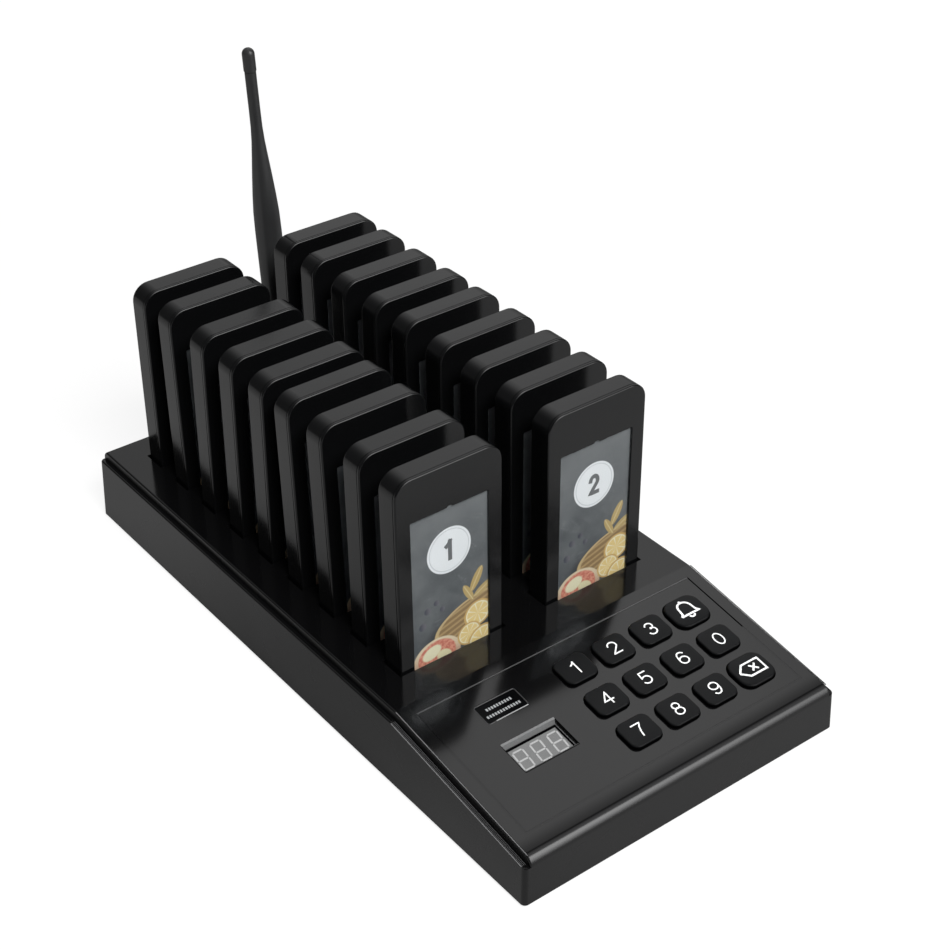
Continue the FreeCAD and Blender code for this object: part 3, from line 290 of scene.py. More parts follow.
def card_finish():
    """A slate card with a white disc, and a plain still life of round fruit, leaves and a bowl."""
    made = Finish("card_print", Roughness=0.45, Coat_Weight=0.25, Coat_Roughness=0.12)
    place = made.parts(made.coordinates["Object"])
    across, up = made.product(place[0], 1 / MM), made.product(place[2], 1 / MM)
    cloud = made.noise(38, 5, roughness=0.65)
    chalk = made.noise(260, 4, stretch=(1, 1, 3.2))
    picture = made.blend(made.between(cloud, 0.3, 0.75), (0.070, 0.076, 0.083, 1), (0.150, 0.156, 0.162, 1))

    def layer(share, colour):
        nonlocal picture
        picture = made.blend(share, picture, colour)

    def spot(*shape):
        return disc(made, across, up, *shape)

    layer(made.between(up, 8, 70, 0.0, 0.35), (0.22, 0.225, 0.23, 1))
    layer(made.between(chalk, 0.62, 0.78, 0.0, 0.25), (0.32, 0.33, 0.34, 1))
    # A wooden board on its shadow, and a few dark berries behind the fruit.
    shadow = spot((7.0, 8.0), 1.0, 0.22, (20.5, 9.4), 16)[0]
    layer(made.product(shadow, 0.75), (0.020, 0.021, 0.024, 1))
    inside, reach, _, w = spot((9.5, 12.0), 1.0, 0.02, (17.5, 7.6), 16)
    grain = made.between(made.math("SINE", made.product(w, 19.0)), -0.4, 0.9)
    layer(inside, made.blend(grain, (0.27, 0.17, 0.08, 1), (0.42, 0.29, 0.14, 1)))
    layer(made.product(inside, made.between(reach, 0.86, 0.93)), (0.56, 0.42, 0.22, 1))
    for centre, radius in (((-10.5, 22.5), 1.5), ((-6.3, 24.6), 1.3), ((-12.9, 16.2), 1.7),
                           ((-3.6, 20.7), 1.2)):
        inside, _, u, _ = spot(centre, radius, 0.2)
        layer(inside, made.blend(made.between(u, -1.5, 1.5), (0.045, 0.05, 0.07, 1), (0.14, 0.13, 0.15, 1)))
    # A leafy sprig reaching up the right edge.
    for centre, turn, size in (((12.5, 27.5), 62, (5.6, 1.9)), ((15.8, 22.0), 28, (5.0, 1.7)),
                               ((8.6, 22.6), 118, (4.6, 1.6))):
        inside, _, _, w = spot(centre, 1.0, 0.06, size, turn)
        vein = made.between(made.math("ABSOLUTE", w), 0.04, 0.16, 1.0, 0.0)
        layer(inside, made.blend(vein, (0.50, 0.36, 0.15, 1), (0.70, 0.58, 0.34, 1)))
    # A bowl seen from above, with a pale rim and a warm filling.
    inside, _, _, w = spot((-6.6, -1.0), 11.2, 0.3, (1.0, 0.8))
    layer(inside, made.blend(made.between(w, -9, 9), (0.50, 0.26, 0.19, 1), (0.72, 0.60, 0.42, 1)))
    inside = spot((-6.6, -0.2), 8.9, 0.3, (1.0, 0.8))[0]
    grains = made.between(made.noise(900, 3), 0.4, 0.65)
    layer(inside, made.blend(grains, (0.56, 0.17, 0.12, 1), (0.74, 0.34, 0.24, 1)))
    layer(spot((-9.0, 2.0), 3.6, 0.4, (1.25, 0.8), 20)[0], (0.80, 0.74, 0.52, 1))
    layer(spot((-3.2, -1.4), 3.0, 0.4, (1.2, 0.85), -25)[0], (0.76, 0.68, 0.44, 1))
    # Three citrus rounds overlapping at the right foot: rind, pith and spokes of flesh.
    for centre, radius in (((13.0, 11.0), 6.6), ((8.8, 3.2), 5.6), ((15.2, -2.2), 7.2)):
        rind, _, u, w = spot(centre, radius, 0.25, (1.0, 0.92), 15)
        layer(rind, (0.62, 0.40, 0.14, 1))
        layer(spot(centre, radius * 0.86, 0.2, (1.0, 0.92), 15)[0], (0.86, 0.80, 0.60, 1))
        flesh = spot(centre, radius * 0.78, 0.25, (1.0, 0.92), 15)[0]
        wave = made.math("SINE", made.product(made.math("ARCTAN2", w, u), 4.0))
        spokes = made.between(made.math("ABSOLUTE", wave), 0.10, 0.35)
        layer(made.product(flesh, spokes), (0.80, 0.60, 0.26, 1))
    # The number's disc with a fine ring inside its edge.
    inside, reach, _, _ = spot((0.0, DISC_Z), 10.1, 0.14)
    layer(inside, (0.86, 0.865, 0.885, 1))
    ring = made.product(made.between(reach, 8.8, 9.0), made.between(reach, 9.15, 9.35, 1.0, 0.0))
    layer(made.product(ring, 0.55), (0.42, 0.44, 0.47, 1))
    made.colour(picture)
    made.bump(made.noise(2600, 2), 0.006 * MM)
    return made.material


def clear_finish():
    """A thin clear cover: mostly see-through, with a reflection that grows at glancing angles."""
    made = Finish("clear_cover")
    made.tree.nodes.remove(made.shader)
    through = made.add("ShaderNodeBsdfTransparent")
    through.inputs["Color"].default_value = (0.95, 0.96, 0.96, 1)
    sheen = made.add("ShaderNodeBsdfGlossy")
    sheen.inputs["Roughness"].default_value = 0.06
    facing = made.add("ShaderNodeLayerWeight").outputs["Facing"]
    smudge = made.noise(60, 3)
    glance = made.math("ADD", 0.02, made.product(made.math("POWER", facing, 4.0), 0.18))
    share = made.product(glance, made.between(smudge, 0.2, 0.8, 0.8, 1.1))
    made.put(made.output.inputs["Surface"], made.mixed(share, through.outputs[0], sheen.outputs[0]))
    return made.material


def painted(name, colour, roughness):
    """A thin printed layer with slightly uneven cover."""
    made = Finish(name)
    cover = made.noise(1500, 3)
    made.colour(made.blend(made.between(cover, 0.25, 0.6), shade(colour, 0.82), shade(colour, 1.0)))
    made.rough(made.between(cover, 0.3, 0.7, roughness * 0.85, roughness * 1.15))
    return made.material


SHELL = shell_finish()
PAGER = moulded("pager_black", (0.0024, 0.0025, 0.0027), 0.18, 0.16, 0.006)
KEY = key_finish()
MAT = moulded("mat_rubber_black", (0.012, 0.012, 0.013), 0.6, 0.3, 0.02)
FOOT = moulded("foot_rubber_black", (0.018, 0.018, 0.019), 0.75, 0.35, 0.03)
PLATE = moulded("plate_black", (0.009, 0.009, 0.010), 0.48, 0.3, 0.03)
AERIAL = moulded("aerial_black", (0.019, 0.0192, 0.0196), 0.32, 0.18, 0.01)
INLET = moulded("inlet_black", (0.010, 0.010, 0.011), 0.4, 0.25, 0.02)
BADGE = moulded("badge_black", (0.0015, 0.0016, 0.0018), 0.10, 0.2, 0.002, Specular_IOR_Level=0.03)
RIM = moulded("rim_grey", (0.026, 0.026, 0.027), 0.14, 0.2, 0.002)
# Painted highlight on the ledge's edge lines.
LEDGE_HIGHLIGHT = moulded("ledge_highlight_grey", (0.110, 0.110, 0.112), 0.22, 0.2, 0.002)
# Painted highlight along the outline's head.
OUTLINE_HIGHLIGHT = moulded("outline_highlight_grey", (0.060, 0.060, 0.061), 0.25, 0.1, 0.0)
# Painted highlight on the ledge's beads.
BEAD_HIGHLIGHT = moulded("bead_highlight_grey", (0.045, 0.045, 0.046), 0.25, 0.2, 0.002)
GASKET = moulded("gasket_black", (0.0012, 0.0012, 0.0013), 0.7, 0.2, 0.004, Specular_IOR_Level=0.03)
LEGEND = painted("legend_white", (0.88, 0.89, 0.89), 0.5)
FINE_LINE = painted("badge_mark_grey", (0.30, 0.31, 0.32), 0.35)
NUMBER = painted("number_grey", (0.15, 0.152, 0.156), 0.5)
CARD = card_finish()
CLEAR = clear_finish()
DISPLAY = moulded("display_grey", (0.112, 0.113, 0.113), 0.4, 0.3, 0.004)
# Grey painted light: the display's lit rear wall and the highlight lines on its right wall.
PAINTED_LIGHT_LINER = moulded("liner_painted_light_grey", (0.125, 0.126, 0.127), 0.35, 0.3, 0.004)
# Pale print of the display's segments, also used for the badge's painted highlight.
SEGMENT_AND_HIGHLIGHT = painted("segment_and_highlight_pale", (0.34, 0.342, 0.342), 0.35)
BATTERY = moulded("battery_foil", (0.30, 0.32, 0.34), 0.3, 0.5, 0.05, Metallic=0.6)
STEEL = metal("zinc_steel", (0.62, 0.62, 0.60), 0.28, (1, 1, 6))
GOLD = metal("gold_contact", (0.80, 0.58, 0.28), 0.26, (6, 1, 1))
NICKEL = metal("nickel_plate", (0.66, 0.64, 0.58), 0.22, (1, 8, 1))
BOARD = board_finish()


# ---------------------------------------------------------------- ways of making pieces
CORNER_ANGLE = 32.0  # edges that turn further than this stay crisp, in degrees
JOIN_DISTANCE = 1e-7
MITER = 0.65  # limits how far a stroke's outer corner reaches
STAGGER = 0.0003  # in millimetres


def finish_mesh(mesh, sharp=CORNER_ANGLE):
    """Outward normals, smooth shading and sharp corners on a mesh."""
    work = bmesh.new()
    work.from_mesh(mesh)
    bmesh.ops.remove_doubles(work, verts=work.verts, dist=JOIN_DISTANCE)
    bmesh.ops.recalc_face_normals(work, faces=work.faces)
    work.to_mesh(mesh)
    work.free()
    mesh.polygons.foreach_set("use_smooth", [True] * len(mesh.polygons))
    mesh.set_sharp_from_angle(angle=math.radians(sharp))
    mesh.update()
    return mesh


def make_mesh(name, vertices, faces, material, sharp=CORNER_ANGLE):
    """A finished mesh from points in millimetres."""
    mesh = bpy.data.meshes.new(name)
    mesh.from_pydata([Vector(v) * MM for v in vertices], [], faces)
    mesh.materials.append(material)
    return finish_mesh(mesh, sharp)


def loft(name, rings, material, start="cap", end="cap", sharp=CORNER_ANGLE):
    """A skin over rings with equal numbers of points. Its ends are capped, fanned to a point, or joined."""
    count = len(rings[0])
    vertices = [point for ring in rings for point in ring]
    faces = []
    spans = len(rings) if start == "join" else len(rings) - 1
    for k in range(spans):
        low, high = k * count, (k + 1) % len(rings) * count
        for i in range(count):
            j = (i + 1) % count
            faces.append((low + i, low + j, high + j, high + i))
    for kind, first in ((start, 0), (end, (len(rings) - 1) * count)):
        loop = [first + i for i in range(count)]
        if kind == "cap":
            faces.append(loop)
        elif isinstance(kind, tuple):
            vertices.append(kind)
            faces.extend((loop[i], loop[(i + 1) % count], len(vertices) - 1) for i in range(count))
    return make_mesh(name, vertices, faces, material, sharp)


def show(name, mesh, body, replaces, matrix, weighted=True):
    """An object of a mesh, in a local frame, riding on a body, in place of the solids it replaces."""
    piece = added(name, mesh)
    if matrix is not None:
        piece.matrix_world = matrix
    if weighted:
        even = piece.modifiers.new("even_normals", "WEIGHTED_NORMAL")
        even.keep_sharp = True
    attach(piece, body)
    if replaces:
        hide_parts(*replaces)
    return piece


def joint_frame(name, sign=1):
    """A local frame at a joint, its Z along the joint's axis and its X across the base."""
    joint = joints[name]
    up = Vector(joint["axis"]).normalized() * sign
    across = Vector((1, 0, 0))
    back = up.cross(across).normalized()
    return axes_at(Vector(joint["pos_m"]), across, back, up)


def rounded(half_x, low, high, radius, foot, steps, dips=()):
    """Points round a plate: round upper corners, round foot corners, and points on its top edge."""
    points = []

    def corner(cx, cz, r, start):
        for i in range(steps + 1):
            angle = math.radians(start + 90 * i / steps)
            points.append((cx + r * math.cos(angle), cz + r * math.sin(angle)))

    corner(half_x - radius, high - radius, radius, 0)
    points.extend((x, high + rise) for x, rise in dips)
    corner(radius - half_x, high - radius, radius, 90)
    corner(foot - half_x, low + foot, foot, 180)
    corner(half_x - foot, low + foot, foot, 270)
    return points


def upright(points, y):
    return [(x, y, z) for x, z in points]


def flat(points, z):
    return [(x, y, z) for x, y in points]


def square(x0, y0, x1, y1):
    return [(x0, y0), (x1, y0), (x1, y1), (x0, y1)]


def ribbon(path, width, closed=False):
    """A flat stroke of even width along points, as polygons in its own plane."""
    count = len(path)
    sides = ([], [])
    for i, (x, y) in enumerate(path):
        before = path[i - 1] if i > 0 or closed else None
        after = path[(i + 1) % count] if i < count - 1 or closed else None
        turns = []
        for a, b in ((before, (x, y)), ((x, y), after)):
            if a is not None and b is not None:
                length = math.hypot(b[0] - a[0], b[1] - a[1])
                turns.append((-(b[1] - a[1]) / length, (b[0] - a[0]) / length))
        nx, ny = sum(t[0] for t in turns), sum(t[1] for t in turns)
        scale = math.hypot(nx, ny)
        nx, ny = nx / scale, ny / scale
        reach = width / 2 / max(MITER, nx * turns[0][0] + ny * turns[0][1])
        sides[0].append((x + nx * reach, y + ny * reach))
        sides[1].append((x - nx * reach, y - ny * reach))
    quads = []
    for i in range(count if closed else count - 1):
        j = (i + 1) % count
        quads.append([sides[0][i], sides[0][j], sides[1][j], sides[1][i]])
    return quads


def level(x, y):
    """The height of a flat surface, for plaques."""
    return 0.0


def plaques(name, polygons, bottom, height, material, lay=level):
    """Thin raised shapes from flat polygons, each a trace higher than the last so that none share a top.

    lay(x, y) gives the height of the surface beneath.
    """
    vertices, faces = [], []
    for order, polygon in enumerate(polygons):
        first, count = len(vertices), len(polygon)
        top = height + STAGGER * order
        vertices.extend((x, y, lay(x, y) + bottom) for x, y in polygon)
        vertices.extend((x, y, lay(x, y) + bottom + top) for x, y in polygon)
        faces.append([first + i for i in range(count)])
        faces.append([first + count + i for i in range(count)])
        faces.extend((first + i, first + (i + 1) % count, first + count + (i + 1) % count,
                      first + count + i) for i in range(count))
    return make_mesh(name, vertices, faces, material)


def block(name, low, high, material):
    """A plain box between two opposite corners."""
    rings = [flat(square(*low[:2], *high[:2]), z) for z in (low[2], high[2])]
    return loft(name, rings, material)


def divided(path, step=0.9):
    """The same path with points added so that none are further apart than a step."""
    points = [path[0]]
    for (x0, y0), (x1, y1) in zip(path, path[1:]):
        count = max(1, math.ceil(math.hypot(x1 - x0, y1 - y0) / step))
        points += [(x0 + (x1 - x0) * k / count, y0 + (y1 - y0) * k / count) for k in range(1, count + 1)]
    return points


def oval(cx, cy, rx, ry, start, end, steps=18):
    """Points along part of an ellipse, from one angle to another in degrees."""
    return [(cx + rx * math.cos(math.radians(start + (end - start) * i / steps)),
             cy + ry * math.sin(math.radians(start + (end - start) * i / steps))) for i in range(steps + 1)]


# The strokes of each digit in a box one unit high, and whether each stroke is closed.
LOOP = oval(0, -0.2, 0.30, 0.30, 0, 345, 23)
TAIL = [(0.24, 0.37), (0.13, 0.47), (0.0, 0.5), (-0.14, 0.45), (-0.24, 0.30), (-0.29, 0.08), (-0.30, -0.18)]
NUMERALS = {
    "0": [(oval(0, 0, 0.30, 0.5, 0, 348, 29), True)],
    "1": [([(0.07, 0.5), (0.07, -0.5)], False), ([(-0.18, 0.27), (-0.02, 0.36), (0.07, 0.5)], False)],
    "2": [(oval(0, 0.21, 0.29, 0.29, 170, -32) + [(-0.28, -0.5), (0.30, -0.5)], False)],
    "3": [(oval(-0.01, 0.245, 0.255, 0.255, 158, -90), False),
          (oval(-0.01, -0.22, 0.29, 0.28, 90, -158), False)],
    "4": [([(0.13, -0.5), (0.13, 0.5), (-0.32, -0.21), (0.32, -0.21)], False)],
    "5": [([(0.25, 0.5), (-0.20, 0.5), (-0.25, 0.02)] + oval(-0.01, -0.19, 0.30, 0.31, 135, -150), False)],
    "6": [(LOOP, True), (TAIL, False)],
    "7": [([(-0.30, 0.5), (0.30, 0.5), (0.12, 0.20), (0.0, -0.15), (-0.06, -0.5)], False)],
    "8": [(oval(0, 0.26, 0.235, 0.24, 0, 342, 19), True), (oval(0, -0.22, 0.285, 0.28, 0, 345, 23), True)],
    "9": [([(-x, -y) for x, y in LOOP], True), ([(-x, -y) for x, y in TAIL], False)],
}


def capped(path, reach):
    """The same open path, its two ends drawn out a little."""
    ends = []
    for (x0, y0), (x1, y1) in ((path[1], path[0]), (path[-2], path[-1])):
        length = math.hypot(x1 - x0, y1 - y0)
        ends.append((x1 + (x1 - x0) / length * reach, y1 + (y1 - y0) / length * reach))
    return [ends[0]] + path[1:-1] + [ends[1]]


def numerals(text, height, width, weight, spacing):
    """Plain numerals as flat strokes: overall height, width of a digit against it, and stroke width."""
    shapes = []
    tall = height - weight
    for place, digit in enumerate(text):
        across = (place - (len(text) - 1) / 2) * spacing
        for path, closed in NUMERALS[digit]:
            scaled = [(across + x * tall * width, y * tall) for x, y in path]
            shapes += ribbon(scaled if closed else divided(capped(scaled, weight / 2)), weight, closed)
    return shapes


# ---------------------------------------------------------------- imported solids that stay
KINK_Y, TOP = -71.1, 33.5  # the fold between deck and panel, and the deck's height, in millimetres


def dress(name, material, bevel, merge=True):
    """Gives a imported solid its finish, merged flat faces where asked, and softly broken edges."""
    piece = nodes[name]
    finishes = piece.data.materials
    for index in range(len(finishes)):
        finishes[index] = material
    if not finishes:
        finishes.append(material)
    if piece.data.has_custom_normals:
        bpy.context.view_layer.objects.active = piece
        with bpy.context.temp_override(object=piece, active_object=piece, selected_objects=[piece]):
            bpy.ops.mesh.customdata_custom_splitnormals_clear()
    piece.data.polygons.foreach_set("use_smooth", [True] * len(piece.data.polygons))
    for edge in piece.data.edges:
        edge.use_edge_sharp = False
    weld = piece.modifiers.new("weld", "WELD")
    weld.merge_threshold = 2e-6
    if merge:
        plain = piece.modifiers.new("plain_faces", "DECIMATE")
        plain.decimate_type = "DISSOLVE"
        plain.angle_limit = math.radians(0.3)
    if bevel:
        edges = piece.modifiers.new("broken_edges", "BEVEL")
        edges.limit_method = "ANGLE"
        edges.angle_limit = math.radians(CORNER_ANGLE)
        edges.width = bevel * MM
        edges.segments = 2
        edges.use_clamp_overlap = True
        edges.miter_outer = "MITER_ARC"
    even = piece.modifiers.new("even_normals", "WEIGHTED_NORMAL")
    even.keep_sharp = False
    return piece


def crease(piece, y, z, near=0.15):
    """Keeps the fold that runs across a dressed piece at this depth and height crisp."""
    for edge in piece.data.edges:
        ends = [piece.matrix_world @ piece.data.vertices[index].co / MM for index in edge.vertices]
        edge.use_edge_sharp = all(abs(end.y - y) < near and abs(end.z - z) < near for end in ends)
    piece.modifiers["even_normals"].keep_sharp = True


# The housing's deck has eighteen holes, which merged faces can't have, so its faces aren't merged.
crease(dress("housing", SHELL, 0.22, merge=False), KINK_Y, TOP)
for name, material, bevel in (
        ("base_plate", PLATE, 0.25), ("housing_screws", STEEL, 0.12), ("rubber_feet", FOOT, 0.25),
        ("charging_boards", BOARD, 0), ("charge_contacts", GOLD, 0.08), ("main_board", BOARD, 0),
        ("keypad_mat", MAT, 0.15), ("display_module", DISPLAY, 0.12), ("display_board", BOARD, 0),
        ("badge_plate", BADGE, 0.15), ("antenna_jack", GOLD, 0.1), ("antenna_jack_nut", NICKEL, 0.15),
        ("antenna_collar", NICKEL, 0.12), ("antenna_elbow", AERIAL, 0.3),
        ("antenna_hinge_pin", STEEL, 0.15), ("power_jack", INLET, 0.15), ("radio_module", BOARD, 0.1)):
    dress(name, material, bevel)
for number in (1, 2):
    dress(f"pager_{number}_circuit_board", BOARD, 0)
    dress(f"pager_{number}_battery", BATTERY, 0.6)


# ---------------------------------------------------------------- pagers
# A pager in its own frame, in millimetres: X across, Y from front to back, Z up from the slot's mouth.
HALF, FOOT_Z, TOP_Z, CORNER, CHAMFER = 24.2, -19.3, 84.9, 7.5, 2.6
WINDOW_HALF, WINDOW_LOW, WINDOW_HIGH, WINDOW_CORNER = 17.85, -11.9, 66.1, 0.6
FACE, SHELF, SEAM, WALL, STEP = 5.2, 4.15, 3.70, 1.5, 0.5
NOTCH_EDGE = [(1.35 * math.cos(math.radians(a)), 0.85 * math.sin(math.radians(a))) for a in range(0, 181, 30)]
PLAIN_EDGE = [(x, 0.0) for x, _ in NOTCH_EDGE]
EDGE = 0.7
CORNER_STEPS = 9


def pager_ring(inset, y):
    points = rounded(HALF - inset, FOOT_Z + inset, TOP_Z - inset, CORNER - inset,
                     max(0.4, CHAMFER - inset), CORNER_STEPS, PLAIN_EDGE)
    return upright(points, y)


def window_ring(grow, y, dips=NOTCH_EDGE):
    corner = WINDOW_CORNER + grow
    points = rounded(WINDOW_HALF + grow, WINDOW_LOW - grow, WINDOW_HIGH + grow, corner, corner,
                     CORNER_STEPS, dips)
    return upright(points, y)


def rounding(face, depth, steps=5):
    """Rings that turn from a face of a plate to its side: the face's y and the way into the plate."""
    rings = []
    for i in range(steps + 1):
        angle = math.radians(90 * i / steps)
        rings.append(pager_ring(EDGE * (1 - math.sin(angle)), face + depth * EDGE * (1 - math.cos(angle))))
    return rings


def pager_meshes():
    """The meshes that all pagers share: front cover, rear cover, window, card and charging pads."""
    front = [window_ring(0.0, -SHELF), window_ring(0.0, 0.15 - FACE), window_ring(0.14, -FACE)]
    front += rounding(-FACE, 1)
    front += [pager_ring(inset, y) for inset, y in (
        (0.0, -3.98), (0.10, -3.82), (STEP, -3.82), (STEP, -SEAM), (WALL, -SEAM), (WALL, -SHELF))]
    rear = [pager_ring(inset, y) for inset, y in (
        (WALL, SEAM), (WALL, -SEAM), (STEP, -SEAM), (STEP, -3.60), (0.24, -3.60), (0.07, -3.53),
        (0.0, -3.36))]
    rear += rounding(FACE, -1)[::-1]
    lens = [window_ring(grow, y, PLAIN_EDGE) for grow, y in ((-0.06, -SHELF), (-0.06, -4.87), (-0.14, -4.95))]
    card = [upright(rounded(18.6, -12.6, 67.6, 0.8, 0.8, 3), y) for y in (-4.10, -3.76)]
    pads = [square(x - 2.5, -1.6, x + 2.5, 1.6) for x in (-6.0, 6.0)]
    return (loft("pager_front_shell", front, PAGER, "join", "join", 40),
            loft("pager_rear_shell", rear, PAGER, "cap", "cap", 40),
            loft("pager_lens", lens, CLEAR),
            loft("pager_card", card, CARD),
            plaques("pager_pads", pads, -19.6, 0.34, GOLD))


def make_pagers():
    front, rear, lens, card, pads = pager_meshes()
    on_card = Matrix.Translation(Vector((0, -4.105, DISC_Z)) * MM) @ Matrix.Rotation(math.radians(90), 4, "X")
    for number in range(1, PAGERS + 1):
        name = f"pager_{number}"
        place = joint_frame(f"{name}_lift")
        whole = number > 2  # one node, where pagers 1 and 2 have a node for each piece
        for part, mesh, slot, node in (
                ("front_shell", front, "pager_plastic", "front_cover"),
                ("rear_shell", rear, "pager_plastic", "rear_cover"),
                ("lens", lens, "window_clear", "window"), ("print", card, "card_paper", "card")):
            stood_for = [name] * (mesh is front) if whole else [f"{name}_{node}"]
            show(f"{name}_{part}", mesh, name, stood_for, place)
        if whole:
            show(f"{name}_pads", pads, name, [], place)
        high, weight, space = (9.5, 1.85, 0) if number < 10 else (8.8, 1.6, 6.3)
        shapes = numerals(str(number), high, 0.80, weight, space)
        digits = plaques(f"{name}_number", shapes, -0.01, 0.03, NUMBER)
        show(f"{name}_number", digits, name, [], place @ on_card, weighted=False)


make_pagers()


# ---------------------------------------------------------------- keys
# Half width, half depth, corner radius, height of the top's edge, rise of the crown and radius of the brow.
DIGIT_KEY = (7.4, 6.4, 3.2, 1.60, 0.10, 0.55)
COMMAND_KEY = (8.5, 7.5, 5.0, 1.50, 0.35, 1.0)
LABELS = ("1", "2", "3", "4", "5", "6", "7", "8", "9", "0", "call", "delete")


def key_mesh(name, sizes):
    """A moulded rubber cap: a flange under the panel, upright sides, a round brow and a low crown."""
    half_x, half_y, radius, edge, crown, brow = sizes

    def ring(inset, z):
        corner = max(0.3, radius - inset)
        return flat(rounded(half_x - inset, inset - half_y, half_y - inset, corner, corner, 7), z)

    rings = [ring(inset, z) for inset, z in (
        (-1.1, -3.75), (-1.1, -2.70), (-1.0, -2.58), (0.0, -2.55), (0.0, edge - brow))]
    for i in range(1, 7):
        angle = math.radians(90 * i / 6)
        rings.append(ring(brow * (1 - math.cos(angle)), edge - brow + brow * math.sin(angle)))
    for share in (0.86, 0.70, 0.52, 0.34, 0.17):
        height = edge + crown * (1 - share * share)
        rings.append([(x * share, y * share, height) for x, y, _ in ring(brow, 0)])
    return loft(name, rings, KEY, "cap", (0.0, 0.0, edge + crown), 50)


def key_top(sizes):
    """The height of a cap's crown, for the plaques on it."""
    half_x, half_y, _, edge, crown, brow = sizes

    def lay(x, y):
        share = min(1.0, max(abs(x) / (half_x - brow), abs(y) / (half_y - brow)))
        return edge + crown * (1 - share * share)
    return lay


def call_sign():
    """A hand bell with its clapper."""
    bell = [(-4.5, -2.3), (-3.4, -1.2), (-3.1, 1.2)] + oval(0, 1.2, 3.1, 3.1, 170, 10, 12)
    bell += [(3.1, 1.2), (3.4, -1.2), (4.5, -2.3)]
    shapes = ribbon(divided(bell + bell[:1]), 0.85)
    shapes += ribbon(oval(0, -2.7, 1.3, 1.3, 195, 345, 8), 0.8)
    shapes += ribbon([(0, 4.2), (0, 5.2)], 0.9)
    return shapes


def delete_sign():
    """A left-pointing tag with a cross in it."""
    tag = [(-6.0, 0.0), (-2.9, 3.1), (5.4, 3.1), (5.4, -3.1), (-2.9, -3.1), (-6.0, 0.0)]
    shapes = ribbon(divided(tag), 0.8)
    shapes += ribbon(divided([(-0.5, -1.5), (2.5, 1.5)]), 0.78)
    shapes += ribbon(divided([(-0.5, 1.5), (2.5, -1.5)]), 0.78)
    return shapes


def make_keys():
    digit, command = key_mesh("digit_cap", DIGIT_KEY), key_mesh("command_cap", COMMAND_KEY)
    for label in LABELS:
        name = f"key_{label}"
        place = joint_frame(f"{name}_press", -1)
        if label.isdigit():
            cap, shapes = digit, numerals(label, 6.35, 1.12, 0.58, 0)
            bottom, height, lay = -0.02, 0.06, key_top(DIGIT_KEY)
        else:
            cap, shapes = command, call_sign() if label == "call" else delete_sign()
            bottom, height, lay = -0.03, 0.07, key_top(COMMAND_KEY)
        show(f"{name}_cap", cap, name, [name], place)
        legend = plaques(f"{name}_legend", shapes, bottom, height, LEGEND, lay)
        show(f"{name}_legend", legend, name, [], place, weighted=False)


make_keys()


# ---------------------------------------------------------------- panel details
SLOPE = math.radians(8.6)
# Places on the panel, in millimetres across it and down it from the fold, and how deep the face lies.
DISPLAY_AT, BADGE_AT = (-38.15, 42.0), (-38.6, 19.3)
FACE_DEPTH, BADGE_DEPTH = 2.45, 0.4


def panel_frame(across, down, sink=0.0):
    """A frame on the sloped panel: X across, Y up the slope, Z out of the panel."""
    out = Vector((0, -math.sin(SLOPE), math.cos(SLOPE)))
    up_slope = Vector((0, math.cos(SLOPE), math.sin(SLOPE)))
    point = Vector((across, KINK_Y, TOP)) - up_slope * down - out * sink
    return axes_at(point * MM, Vector((1, 0, 0)), up_slope, out)


def trim(name, mesh, place, weighted=True):
    """A small piece on the base that stands in for no solid."""
    show(name, mesh, BASE, [], place, weighted)


def digit_segments(width, height, bar, gap):
    """The seven bars of a digit, centred, before they are slanted."""
    w, h, half = width / 2, height / 2, bar / 2
    shapes = []
    for y in (-h, 0.0, h):
        low, high = -w + gap, w - gap
        shapes.append([(low, y), (low + half, y + half), (high - half, y + half),
                       (high, y), (high - half, y - half), (low + half, y - half)])
    for x in (-w, w):
        for foot, head in ((-h, 0.0), (0.0, h)):
            low, high = foot + gap, head - gap
            shapes.append([(x, low), (x + half, low + half), (x + half, high - half),
                           (x, high), (x - half, high - half), (x - half, low + half)])
    return shapes


def make_display():
    """The window: a black gasket, a grey liner on the lit rear wall and two grey lines on the right wall as
    painted light, a dark bed and the raised grey face.
    """
    place = panel_frame(*DISPLAY_AT)
    section = ((-0.22, -0.6), (-0.22, 0.02), (0.08, 0.02), (0.08, -0.6))
    rings = [flat(rounded(12.6 + grow, -7.45 - grow, 7.45 + grow, 0.5 + grow, 0.5 + grow, 6), z)
             for grow, z in section]
    trim("display_gasket", loft("display_gasket", rings, GASKET, "join", "join"), place)
    # A grey liner on the rear wall only, the wall the light falls on: painted light.
    rings = [flat(square(-12.45, low, 12.45, high), z) for low, high, z in (
        (6.35, 7.40, -2.40), (6.95, 7.40, 0.0), (7.10, 7.95, 0.06), (7.20, 7.85, 0.10))]
    trim("display_rear_liner", loft("display_rear_liner", rings, PAINTED_LIGHT_LINER), place)
    for name, low, high, material in (
            ("display_bed", (-12.55, -7.4, -3.3), (12.55, 7.4, -3.05), GASKET),
            ("display_face", (-11.7, -7.3, -3.05), (11.4, 5.25, -FACE_DEPTH), DISPLAY),
            ("display_foot_strip", (-12.5, -7.43, -0.6), (12.5, -6.85, -0.01), SHELL),
            # Two thin grey lines on the right wall: painted highlights.
            ("display_upper_highlight", (12.4, -7.2, -0.42), (12.56, 7.0, -0.2), PAINTED_LIGHT_LINER),
            ("display_lower_highlight", (12.3, -7.2, -2.5), (12.56, 7.0, -2.25), PAINTED_LIGHT_LINER)):
        trim(name, block(name, low, high, material), place)
    shapes, lean = [], 0.09
    for across in (-8.0, 0.0, 8.0):
        for shape in digit_segments(4.6, 8.85, 0.72, 0.16):
            shapes.append([(x + across + 0.05 + y * lean, y - 0.65) for x, y in shape])
    segments = plaques("display_segments", shapes, -0.02, 0.06, SEGMENT_AND_HIGHLIGHT)
    trim("display_segments", segments, panel_frame(*DISPLAY_AT, FACE_DEPTH), weighted=False)


